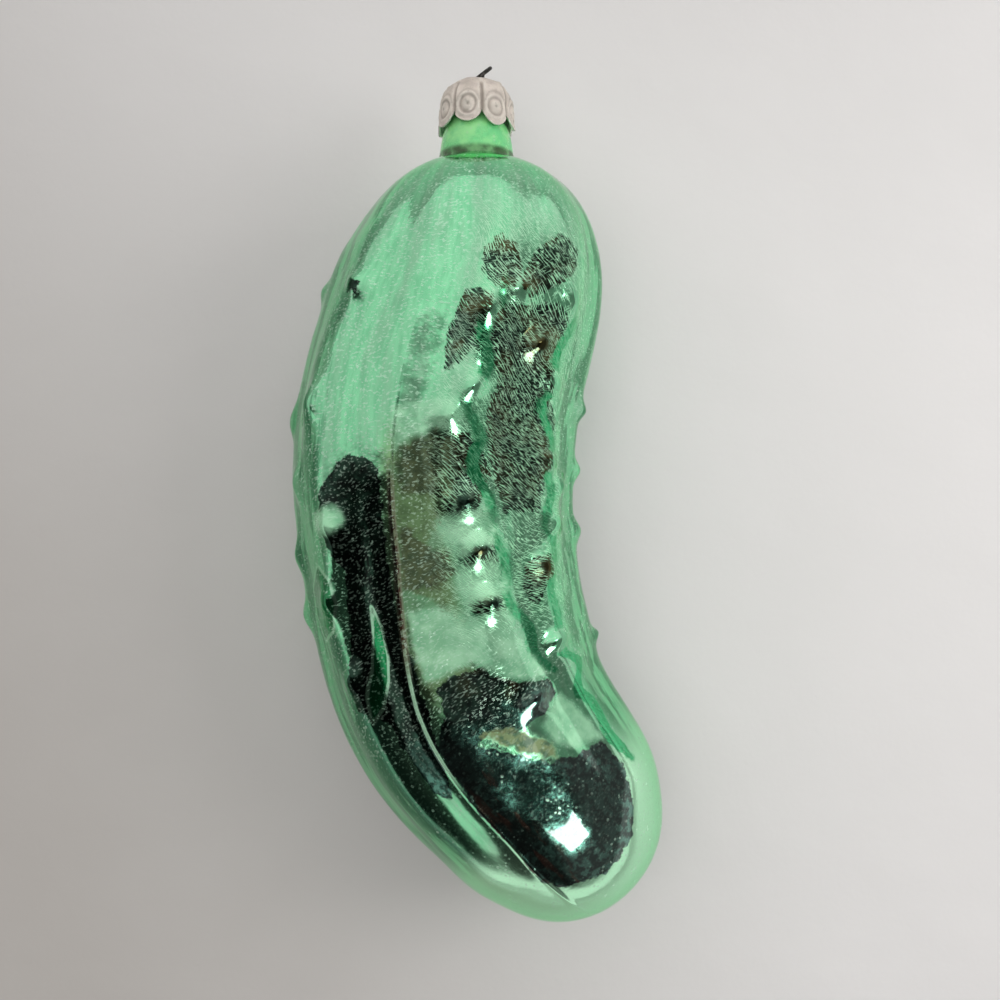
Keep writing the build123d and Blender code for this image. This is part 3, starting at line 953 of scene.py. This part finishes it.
def fine_flecks():
    """Small bright flecks, some brighter than others."""
    tree, nodes, given, mask = new_group("fine_flecks", {"Spacing": 0.5, "Cover": 0.3})
    scale = nodes.maths("DIVIDE", 1.0, given["Spacing"])
    cells = nodes.add(
        "ShaderNodeTexVoronoi", {"Vector": given["Place"], "Scale": scale, "Randomness": 1.0}).outputs
    chance = nodes.add("ShaderNodeSeparateColor", {"Color": cells["Color"]}).outputs
    bright = nodes.ramp(chance[0], nodes.less(1.0, given["Cover"]), 1.0)
    size = nodes.between(chance[1], SMALLEST_FLECK, LARGEST_FLECK)
    dot = nodes.maths("LESS_THAN", cells["Distance"], size)
    nodes.feed(mask, nodes.times(dot, bright))
    return tree


def soft_blotches():
    """Soft uneven patches."""
    tree, nodes, given, mask = new_group("soft_blotches", {"Size": 5.0, "Middle": 0.5, "Softness": 0.1})
    scale = nodes.maths("DIVIDE", 1.0, given["Size"])
    cloud = nodes.add(
        "ShaderNodeTexNoise", {"Vector": given["Place"], "Scale": scale, "Detail": 4.0, "Roughness": 0.55})
    low, high = nodes.less(given["Middle"], given["Softness"]), nodes.plus(given["Middle"], given["Softness"])
    nodes.feed(mask, nodes.ramp(cloud.outputs["Fac"], low, high))
    return tree


def new_material(name, groups, values):
    """A material with one shader that has these plain values."""
    material = bpy.data.materials.new(name)
    material.use_nodes = True
    material.node_tree.nodes.clear()
    nodes = Nodes(material.node_tree, groups)
    shader = nodes.add("ShaderNodeBsdfPrincipled", values)
    nodes.add("ShaderNodeOutputMaterial", {"Surface": shader.outputs[0]})
    return material, nodes, shader.inputs


# Zones of wear and of painted reflections on the glass, from where each starts to where it is full:
# millimetres along the body, or degrees round it from the top towards +X
BLOSSOM_START = (72, 78)
RUBBED_LEFT, RUBBED_RIGHT = (-4, 8), (80, 56)
RUBBED_START, RUBBED_END = (5, 14), (72, 62)
LEFT_RIM, RIGHT_RIM = (-38, -50), (50, 62)
PALE_TIP = (86, 93)
SPECKS_END = (60, 40)
RUST_START = (78, 84)
BULB_LEFT = (-24, -14)
NECK_ROOT = (-0.3, 0.5)
# Zones with two ends: from, to, and how soft the ends are
# The olive zone along the top is a painted dark reflection of what stands overhead
TARNISH_ROUND, TARNISH_ALONG = (-16, 8, 4), (40, 72, 4)
LOW_LEFT_ROUND, LOW_LEFT_ALONG = (-62, -35, 4), (58, 96, 5)
RUST_ROUND = (-19, -4, 4)
SEAM_PALE_ALONG, SEAM_BEIGE_ALONG, SEAM_BROWN_ALONG = (62, 80, 3), (44, 66, 3), (46, 66, 3)

# Patterns of blotches: size in millimetres, then the middle and the softness of their edges
STREAKS, FINE_STREAKS, RIM_STREAKS = (3.8, 0.5, 0.10), (0.9, 0.53, 0.12), (2.6, 0.51, 0.04)
LOW_LEFT_STREAKS, RUST_STREAKS = (3.0, 0.45, 0.05), (1.3, 0.56, 0.05)
RUBBED_CLOUDS, FLECK_CLOUDS, TARNISH_CLOUDS = (5.0, 0.46, 0.16), (3.2, 0.5, 0.12), (6.0, 0.47, 0.08)
MOTTLE_CLOUDS, GLOSS_CLOUDS = (4.5, 0.5, 0.1), (7.0, 0.5, 0.25)
RAGGED_EDGE = (1.3, 0.5, 0.35)
BROWN_SPOTS, MOTTLE_SPOTS, STAIN_SPOTS = (4.0, 0.54, 0.10), (0.9, 0.51, 0.08), (1.6, 0.5, 0.14)
DRAB_SPOTS, DRY_SPOTS = (1.1, 0.5, 0.2), (1.0, 0.5, 0.1)
GLOW_SPOTS, SEAM_DASHES = (2.4, 0.5, 0.16), (0.7, 0.48, 0.05)
NECK_STREAKS, SILVER_RUNS, WIRE_RUBS = (2.6, 0.5, 0.14), (6.0, 0.5, 0.2), (1.1, 0.6, 0.08)
TIN_SPOTS, TIN_CLOUDS, TIN_GLOSS = (1.6, 0.5, 0.16), (3.0, 0.55, 0.1), (1.2, 0.5, 0.25)
FLOOR_CLOUDS = (70.0, 0.5, 0.3)
# Patterns of flecks: spacing in millimetres and cover
GLASS_FLECKS, NECK_FLECKS, TIN_FLECKS = (0.5, 0.42), (0.5, 0.2), (0.3, 0.3)
# Strokes: length and width in millimetres, swirl, turn and cover
SLANTED_STROKES = (0.95, 0.13, 3.4, -0.85, 0.62)
CROSSING_STROKES = (0.75, 0.12, 4.6, -1.9, 0.44)
DASHES = (0.42, 0.20, 2.0, 1.35, 0.40)
DRAWN_OUT = (0.22, 1.0, 1.0)   # how the wrapped coordinates shrink the long way for streaks

# Colours of the glass, most in pairs that a pattern blends
SAGE, MINT, STREAK_GREEN = (0.24, 0.56, 0.335), (0.25, 0.74, 0.40), (0.11, 0.47, 0.23)
# The rims' and the lower left's dark greens are painted dark reflections
RIM_GREEN, LOW_LEFT_GREEN, TIP_GREEN = (0.015, 0.17, 0.07), (0.015, 0.12, 0.06), (0.50, 0.92, 0.60)
# The olive along the top is a painted dark reflection
TARNISH_OLIVE = (0.20, 0.29, 0.09)
# The pale patches' colours are painted reflections of bright surroundings
GLOW_DIM, GLOW_BRIGHT = (0.26, 0.62, 0.36), (0.44, 0.86, 0.54)
# The olive patches' colours, on the body and on the blossom end, are painted dark reflections
DRAB_DARK, DRAB_LIGHT = (0.045, 0.085, 0.035), (0.13, 0.17, 0.07)
DRY_LIGHT, DRY_DARK = (0.16, 0.175, 0.075), (0.04, 0.06, 0.03)
# The dark patches' colours, with their brown, teal and mottled parts, are painted dark reflections
STAIN_BLACK, STAIN_GREEN = (0.004, 0.012, 0.008), (0.02, 0.055, 0.035)
STAIN_BROWN, STAIN_TEAL = (0.06, 0.055, 0.018), (0.014, 0.05, 0.038)
MOTTLE_GREEN, RUST_BROWN = (0.10, 0.26, 0.20), (0.20, 0.085, 0.05)
BAND_DEEP, BAND_LIGHT = (0.01, 0.33, 0.11), (0.05, 0.50, 0.20)
LEAF_DARK, LEAF_LIGHT, LEAF_RIM = (0.005, 0.15, 0.045), (0.02, 0.32, 0.11), (0.42, 0.78, 0.52)
SEAM_PALE, SEAM_BEIGE, SEAM_BROWN = (0.50, 0.86, 0.58), (0.28, 0.31, 0.20), (0.08, 0.035, 0.015)
FLECK_PALE, STROKE_GREEN = (0.72, 1.0, 0.80), (0.46, 0.86, 0.55)
LACQUER_SHEEN = (0.50, 0.90, 0.60)
NECK_LIGHT, NECK_DEEP = (0.36, 0.92, 0.36), (0.18, 0.74, 0.28)
NECK_FLECK, NECK_SHADE = (0.55, 0.85, 0.55), (0.03, 0.09, 0.02)
SILVER_BRIGHT, SILVER_DULL = (0.72, 0.73, 0.70), (0.42, 0.40, 0.34)
# Colours of the cap, the wire and the floor
TIN_LIGHT, TIN_DULL, TIN_PINK = (0.76, 0.685, 0.61), (0.58, 0.52, 0.46), (0.62, 0.53, 0.50)
# On the cap, a painted highlight on raised stamping and painted shade in sunk stamping
TIN_WORN, TIN_GRIME, TIN_FLECK = (0.92, 0.88, 0.80), (0.20, 0.17, 0.15), (0.28, 0.24, 0.21)
# The cap's inside is bare tin, painted pale as painted light so the petals' inner faces look lit
TIN_INSIDE = (0.86, 0.86, 0.83)
WIRE_BLACK, WIRE_RUBBED = (0.035, 0.033, 0.03), (0.16, 0.15, 0.14)
FLOOR_SHADED, FLOOR_PALE = (0.53, 0.50, 0.47), (0.84, 0.825, 0.82)
FLOOR_FAR_OFF, FLOOR_CLOUD = (0.90, 0.89, 0.88), (0.74, 0.73, 0.72)


def glass_marks(nodes):
    """Where each kind of wear and each painted reflection lies on the silvered glass, as masks from 0 to 1.
    """
    times, plus, ramp, between = nodes.times, nodes.plus, nodes.ramp, nodes.between
    on = SimpleNamespace()
    on.place, wrap = nodes.place(), nodes.wrap()
    on.along, on.angle = nodes.value_of("along"), nodes.value_of("round")
    on.seam, wart = nodes.value_of("seam"), nodes.value_of("wart")
    on.drawn_out = nodes.vector("MULTIPLY", wrap, {1: DRAWN_OUT})
    on.streaks = nodes.blotch(on.drawn_out, *STREAKS)
    on.fine_streaks = nodes.blotch(on.drawn_out, *FINE_STREAKS)

    # The ribs on the right carry most strokes, the left few and the blossom end fewest
    on.blossom = ramp(on.along, *BLOSSOM_START)
    on.right = times(ramp(on.angle, *RUBBED_LEFT), ramp(on.angle, *RUBBED_RIGHT))
    on.rubbed = times(
        on.right, ramp(on.along, *RUBBED_START), ramp(on.along, *RUBBED_END),
        between(nodes.blotch(on.place, *RUBBED_CLOUDS), 0.7, 1.0))
    on.slanted = nodes.strokes(wrap, *SLANTED_STROKES)
    crossing, dashes = nodes.strokes(wrap, *CROSSING_STROKES), nodes.strokes(wrap, *DASHES)
    marks = nodes.blend(on.rubbed, dashes, nodes.most(on.slanted, times(crossing, 0.8)))

    # Each patch has a ragged edge, combed by the strokes on the right
    ragged = nodes.less(nodes.blotch(on.place, *RAGGED_EDGE), 0.5)
    combed = times(nodes.less(on.slanted, 0.5), on.rubbed)

    def patch(name, soft, rag):
        depth = plus(nodes.value_of(name), times(ragged, rag), times(combed, -1.3))
        return ramp(depth, -soft, soft)

    # The dark and olive patches are painted dark reflections, the pale ones painted reflections of bright
    # surroundings
    on.dark, on.olive = patch("dark", 0.14, 0.9), patch("olive", 0.45, 1.1)
    on.pale, on.leaf = patch("pale", 0.6, 0.5), patch("leaf", 0.12, 0.3)
    on.leaf_rim = nodes.window(nodes.value_of("leaf"), -0.32, 0.08, 0.10)
    band = plus(nodes.value_of("band"), times(plus(ragged, combed), 0.35))
    on.band = times(ramp(band, 0.26, 0.50), ramp(wart, 0.55, 0.25))
    on.seam_line = times(ramp(on.seam, 0.45, 0.80), nodes.window(on.along, *SEAM_PALE_ALONG))

    # Frost is where strokes and flecks have rubbed the lacquer pale, clear of the warts' tips
    strength = times(between(on.rubbed, 0.34, 0.66), between(on.blossom, 1.0, 0.22))
    strokes = times(marks, strength, ramp(wart, 0.92, 0.55))
    thick = between(nodes.blotch(on.place, *FLECK_CLOUDS), 0.15, 0.75)
    flecks = times(nodes.flecks(on.place, *GLASS_FLECKS), thick)
    seam_specks = times(ramp(on.seam, 0.35, 0.75), flecks, ramp(on.along, *SPECKS_END))
    frost = nodes.most(nodes.maths("ADD", strokes, times(flecks, 0.5), clamp=True), seam_specks)
    shown = nodes.less(1.0, times(on.dark, between(on.right, 0.35, 0.0)))
    on.frost = times(frost, shown, between(on.band, 1.0, 0.45))
    return on


def glass_colour(nodes, on):
    """The plain lacquer's streaks, and over them, from the bottom up, painted reflections and each kind of
    wear.
    """
    times, blend = nodes.times, nodes.blend

    def blotch(pattern, spot=on.place):
        return nodes.blotch(spot, *pattern)

    def along(zone):
        return nodes.window(on.along, *zone)

    def around(zone):
        return nodes.window(on.angle, *zone)

    # The rims' dark streaks and the lower left's dark streaks are painted dark reflections
    rims = nodes.most(nodes.ramp(on.angle, *LEFT_RIM), nodes.ramp(on.angle, *RIGHT_RIM))
    rims = times(rims, blotch(RIM_STREAKS, on.drawn_out))
    low_left = times(around(LOW_LEFT_ROUND), along(LOW_LEFT_ALONG), blotch(LOW_LEFT_STREAKS, on.drawn_out))
    # The olive cloud along the top is a painted dark reflection
    tarnish = times(
        around(TARNISH_ROUND), along(TARNISH_ALONG), nodes.between(blotch(TARNISH_CLOUDS), 0.5, 1.0))
    brown = times(on.right, nodes.less(1.0, on.blossom), blotch(BROWN_SPOTS))
    mottle = times(on.blossom, blotch(MOTTLE_SPOTS), nodes.between(blotch(MOTTLE_CLOUDS), 0.3, 1.0))
    # Brown streaks by the seam on the blossom end, part of the painted dark reflection there
    rust = times(around(RUST_ROUND), nodes.ramp(on.along, *RUST_START), blotch(RUST_STREAKS, on.drawn_out))
    seam_side = times(nodes.ramp(on.seam, 0.03, 0.30), along(SEAM_BEIGE_ALONG))
    seam_dashes = times(nodes.ramp(on.seam, 0.35, 0.75), along(SEAM_BROWN_ALONG), blotch(SEAM_DASHES))

    # The dark patches' colour is a painted dark reflection: brown on the right, teal and mottled on the
    # blossom end
    stain = nodes.layered(blend(blotch(STAIN_SPOTS), STAIN_BLACK, STAIN_GREEN), [
        (brown, 1.0, STAIN_BROWN),
        (on.blossom, 0.7, STAIN_TEAL),
        (mottle, 0.9, MOTTLE_GREEN),
        (rust, 0.8, RUST_BROWN),
    ])
    drab = blend(blotch(DRAB_SPOTS), DRAB_DARK, DRAB_LIGHT)
    dry = blend(blotch(DRY_SPOTS), DRY_LIGHT, DRY_DARK)
    band = blend(nodes.most(on.slanted, on.fine_streaks), BAND_DEEP, BAND_LIGHT)
    return nodes.layered(blend(on.streaks, SAGE, MINT), [
        (on.fine_streaks, 0.45, STREAK_GREEN),
        (rims, 0.85, RIM_GREEN),
        (low_left, 0.85, LOW_LEFT_GREEN),
        (nodes.ramp(on.along, *PALE_TIP), 1.0, TIP_GREEN),
        (tarnish, 0.75, TARNISH_OLIVE),
        (on.dark, 1.0, stain),
        (on.band, 0.95, band),
        (on.pale, 0.9, blend(blotch(GLOW_SPOTS), GLOW_DIM, GLOW_BRIGHT)),
        (on.olive, 0.9, blend(on.blossom, drab, dry)),
        (on.leaf, 1.0, blend(on.fine_streaks, LEAF_DARK, LEAF_LIGHT)),
        (on.leaf_rim, 0.8, LEAF_RIM),
        (on.seam_line, 0.85, SEAM_PALE),
        (seam_side, 0.75, SEAM_BEIGE),
        (seam_dashes, 0.95, SEAM_BROWN),
        (on.frost, 1.0, blend(on.rubbed, FLECK_PALE, STROKE_GREEN)),
    ])


def silvered_lacquer(groups):
    """Mirror silvering seen through worn green lacquer."""
    material, nodes, shader = new_material("silvered_green_lacquer", groups, {
        "Specular Tint": LACQUER_SHEEN, "Coat Roughness": 0.05, "Coat IOR": 1.7})
    on = glass_marks(nodes)
    nodes.feed(shader["Base Color"], glass_colour(nodes, on))
    # The olive patch on the blossom end, a painted dark reflection, is given little gloss
    brushed = nodes.times(on.olive, on.blossom)
    rough = nodes.between(nodes.blotch(on.place, *GLOSS_CLOUDS), 0.09, 0.17)
    rough = nodes.maths("ADD", rough, nodes.times(nodes.most(on.frost, brushed), 0.35), clamp=True)
    nodes.feed(shader["Roughness"], rough)
    # The pale patches, painted reflections of bright surroundings, are made partly dull like the frost
    matt = nodes.most(on.frost, nodes.times(on.pale, 0.75), on.seam_line, brushed)
    nodes.feed(shader["Metallic"], nodes.ramp(matt, 0, 1, 1.0, 0.30, "LINEAR"))
    bulb = nodes.times(on.blossom, nodes.ramp(on.angle, *BULB_LEFT))
    coat = nodes.between(on.dark, 0.45, nodes.between(bulb, 0.12, 1.0))
    nodes.feed(shader["Coat Weight"], nodes.between(brushed, coat, 0.1))
    pucker = nodes.times(nodes.noise(on.place, 0.55, 2.0)["Fac"], nodes.between(on.blossom, 0.10, 0.03))
    nodes.bump(shader, nodes.plus(pucker, nodes.times(on.frost, 0.008)), strength=0.6, depth=1)
    return material


def neck_glass(groups):
    """Clear glass under green lacquer, where the silvering ends."""
    material, nodes, shader = new_material("green_neck_glass", groups, {
        "Transmission Weight": 0.12, "Metallic": 0.0, "IOR": 1.5})
    place = nodes.place()
    streaks = nodes.blotch(place, *NECK_STREAKS)
    # Painted shade darkens the neck at its root, where it meets the body
    root = nodes.times(nodes.ramp(nodes.value_of("along"), *NECK_ROOT), nodes.between(streaks, 0.6, 1.0))
    nodes.feed(shader["Base Color"], nodes.layered(nodes.blend(streaks, NECK_LIGHT, NECK_DEEP), [
        (nodes.flecks(place, *NECK_FLECKS), 0.4, NECK_FLECK),
        (root, 1.0, NECK_SHADE),
    ]))
    nodes.feed(shader["Roughness"], nodes.between(streaks, 0.16, 0.30))
    nodes.bump(shader, nodes.noise(place, 0.7, 2.0)["Fac"], strength=0.3, depth=0.2)
    return material


def bare_silver(groups):
    """The silvering as it looks inside the hollow."""
    material, nodes, shader = new_material("bare_silvering", groups, {"Metallic": 1.0})
    run = nodes.blotch(nodes.place(), *SILVER_RUNS)
    nodes.feed(shader["Base Color"], nodes.blend(run, SILVER_BRIGHT, SILVER_DULL))
    nodes.feed(shader["Roughness"], nodes.between(run, 0.25, 0.5))
    return material


def aged_tin(groups):
    """Dull tin with painted shade in its sunk stamping and painted highlights on what stands up."""
    material, nodes, shader = new_material("aged_tin", groups, {"Metallic": 0.45})
    place, inside = nodes.place(), nodes.value_of("inside")
    plain = nodes.blend(nodes.blotch(place, *TIN_SPOTS), TIN_LIGHT, TIN_DULL)
    nodes.feed(shader["Base Color"], nodes.layered(plain, [
        (nodes.blotch(place, *TIN_CLOUDS), 0.35, TIN_PINK),
        (nodes.value_of("raised"), 0.35, TIN_WORN),
        (nodes.value_of("sunk"), 0.55, TIN_GRIME),
        (nodes.flecks(place, *TIN_FLECKS), 0.3, TIN_FLECK),
        (inside, 1.0, TIN_INSIDE),
    ]))
    rough = nodes.between(nodes.blotch(place, *TIN_GLOSS), 0.42, 0.58)
    nodes.feed(shader["Roughness"], nodes.less(rough, nodes.times(inside, 0.15)))
    nodes.bump(shader, nodes.noise(place, 3.5, 3.0)["Fac"], strength=0.4, depth=0.08)
    return material


def dark_wire(groups):
    """Blackened steel wire with a fine grain and a few bright rubs."""
    material, nodes, shader = new_material("dark_wire", groups, {"Metallic": 0.9})
    place = nodes.place()
    rub = nodes.blotch(place, *WIRE_RUBS)
    nodes.feed(shader["Base Color"], nodes.blend(nodes.times(rub, 0.7), WIRE_BLACK, WIRE_RUBBED))
    nodes.feed(shader["Roughness"], nodes.between(rub, 0.5, 0.3))
    nodes.bump(shader, nodes.noise(place, 6.0, 2.0)["Fac"], strength=0.3, depth=0.04)
    return material


# Floor: half its size in metres. It darkens to the left along a slant as painted shade, and turns plain far
# off, over these stretches in millimetres.
FLOOR_HALF = 3.0
FLOOR_SLANT, SHADE_STRETCH, FAR_STRETCH = 0.6, (-120, 20), (120, 320)


def pale_floor(groups):
    """The plain white sheet that the ornament lies on."""
    material, nodes, shader = new_material("pale_floor", groups, {
        "Roughness": 0.8, "Specular IOR Level": 0.2})
    place = nodes.place()
    parts = nodes.add("ShaderNodeSeparateXYZ", {"Vector": place}).outputs
    across = nodes.plus(parts["X"], nodes.times(parts["Y"], FLOOR_SLANT))
    away = nodes.add("ShaderNodeVectorMath", {0: place}, operation="LENGTH").outputs["Value"]
    near = nodes.blend(nodes.ramp(across, *SHADE_STRETCH), FLOOR_SHADED, FLOOR_PALE)
    nodes.feed(shader["Base Color"], nodes.layered(near, [
        (nodes.ramp(away, *FAR_STRETCH), 1.0, FLOOR_FAR_OFF),
        (nodes.blotch(place, *FLOOR_CLOUDS), 0.3, FLOOR_CLOUD),
    ]))
    nodes.bump(shader, nodes.noise(place, 0.05, 5.0)["Fac"], strength=0.25, depth=2)
    mesh = bpy.data.meshes.new("floor")
    corners = [(x * FLOOR_HALF, y * FLOOR_HALF, 0) for x, y in ((-1, -1), (1, -1), (1, 1), (-1, 1))]
    mesh.from_pydata(corners, [], [(0, 1, 2, 3)])
    mesh.materials.append(material)
    put_in_scene("floor", mesh)


# The room's light: degrees from +Y towards +X, or degrees down from straight up, between
# which each part fades in, with levels from 0 to 1 where four numbers stand
WALL_LEFT, WALL_RIGHT, WALL_TOP, WALL_LEVEL = (-98, -84), (78, 46), (5, 15), (-70, 5, 0.82, 1.02)
CORNER_LEFT, CORNER_RIGHT, CORNER_LEVEL = (45, 75), (172, 150), (26, 42, 0.05, 0.24)
OVERHEAD_EDGE, OVERHEAD_LEVEL = (20, 15), (4, 8, 0.26, 0.46)
LOW_BAND_LEVEL = (77, 82, 0.0, 0.84)
DARKEST_LEVEL = 0.035
ROOM_WHITE = (1.0, 0.985, 0.97)


def room_light():
    """A pale room towards the cap and the left, duller to the right, dark towards the blossom end."""
    world = bpy.data.worlds.new("room")
    bpy.context.scene.world = world
    world.use_nodes = True
    world.node_tree.nodes.clear()
    nodes = Nodes(world.node_tree)
    way = nodes.add("ShaderNodeTexCoord").outputs["Generated"]
    parts = nodes.add("ShaderNodeSeparateXYZ", {"Vector": way}).outputs
    turned = nodes.times(nodes.maths("ARCTAN2", parts["X"], parts["Y"]), 180 / math.pi)
    down = nodes.times(nodes.maths("ARCCOSINE", parts["Z"]), 180 / math.pi)
    wall = nodes.times(
        nodes.ramp(turned, *WALL_LEFT), nodes.ramp(turned, *WALL_RIGHT), nodes.ramp(down, *WALL_TOP),
        nodes.ramp(turned, *WALL_LEVEL))
    corner = nodes.times(
        nodes.ramp(turned, *CORNER_LEFT), nodes.ramp(turned, *CORNER_RIGHT), nodes.ramp(down, *CORNER_LEVEL))
    overhead = nodes.times(nodes.ramp(down, *OVERHEAD_EDGE), nodes.ramp(down, *OVERHEAD_LEVEL))
    level = nodes.most(wall, corner, overhead, nodes.ramp(down, *LOW_BAND_LEVEL), DARKEST_LEVEL)
    colour = nodes.blend(level, (0, 0, 0), ROOM_WHITE)
    back = nodes.add("ShaderNodeBackground", {"Color": colour, "Strength": 1.0})
    nodes.add("ShaderNodeOutputWorld", {"Surface": back.outputs[0]})


# Lamps: direction from the ornament's middle, distance, width and height, radiance. The
# first two show only as highlights, and the other two only light what is dull.
LAMP_AIM = Vector((0, 0, 0.018))
MIRRORED_LAMPS = [
    ("key_lamp", (0.40, -0.50, 0.77), 0.45, (0.14, 0.16), 12.0),
    ("sparkle_lamp", (0.52, 0.28, 0.81), 0.40, (0.025, 0.07), 10.0),
]
LIGHTING_LAMPS = [
    ("fill_lamp", (0.80, 0.10, 0.60), 0.26, (0.12, 0.18), 3.6, (1.0, 0.99, 0.985)),
    ("ceiling_lamp", (-0.15, -0.1, 1.0), 0.50, (0.32, 0.32), 1.4, (1.0, 0.985, 0.975)),
]


def soft_lamp(name, toward, distance, size, radiance, colour, mirrored=True, lighting=True):
    """A soft lamp in this direction from the ornament's middle, facing it."""
    lamp = bpy.data.lights.new(name, "AREA")
    lamp.shape = "RECTANGLE"
    lamp.size, lamp.size_y = size
    lamp.energy = radiance * math.pi * size[0] * size[1]
    lamp.color = colour
    made = put_in_scene(name, lamp)
    way = Vector(toward).normalized()
    made.location = LAMP_AIM + way * distance
    made.visible_glossy, made.visible_diffuse = mirrored, lighting
    made.rotation_mode = "QUATERNION"
    made.rotation_quaternion = way.to_track_quat("Z", "Y")


LENS, SENSOR = 39.6, 36
CAMERA_PLACE = (0.00325, -0.001337, 0.16729)
NEAREST_SEEN, FARTHEST_SEEN = 0.005, 20


def photo_camera():
    """A camera straight above the ornament, at the distance that the photograph shows."""
    camera = bpy.data.cameras.new("camera")
    camera.lens, camera.sensor_width = LENS, SENSOR
    camera.clip_start, camera.clip_end = NEAREST_SEEN, FARTHEST_SEEN
    made = put_in_scene("camera", camera)
    made.location = CAMERA_PLACE
    bpy.context.scene.camera = made


def main():
    groups = {"strokes": brushed_strokes(), "flecks": fine_flecks(), "blotches": soft_blotches()}
    glass = pickle_glass([silvered_lacquer(groups), neck_glass(groups), bare_silver(groups)])
    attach(glass, "pickle")
    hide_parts("glass_pickle")
    crown = petal_cap(aged_tin(groups))
    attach(crown, "cap")
    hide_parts("cap")
    wire = hanging_wire(dark_wire(groups))
    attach(wire, "hanger")
    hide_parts("wire_hanger")
    pale_floor(groups)
    room_light()
    for name, toward, distance, size, radiance in MIRRORED_LAMPS:
        soft_lamp(name, toward, distance, size, radiance, (1, 1, 1), lighting=False)
    for name, toward, distance, size, radiance, colour in LIGHTING_LAMPS:
        soft_lamp(name, toward, distance, size, radiance, colour, mirrored=False)
    photo_camera()
    bpy.context.scene.view_settings.view_transform = "Standard"


main()
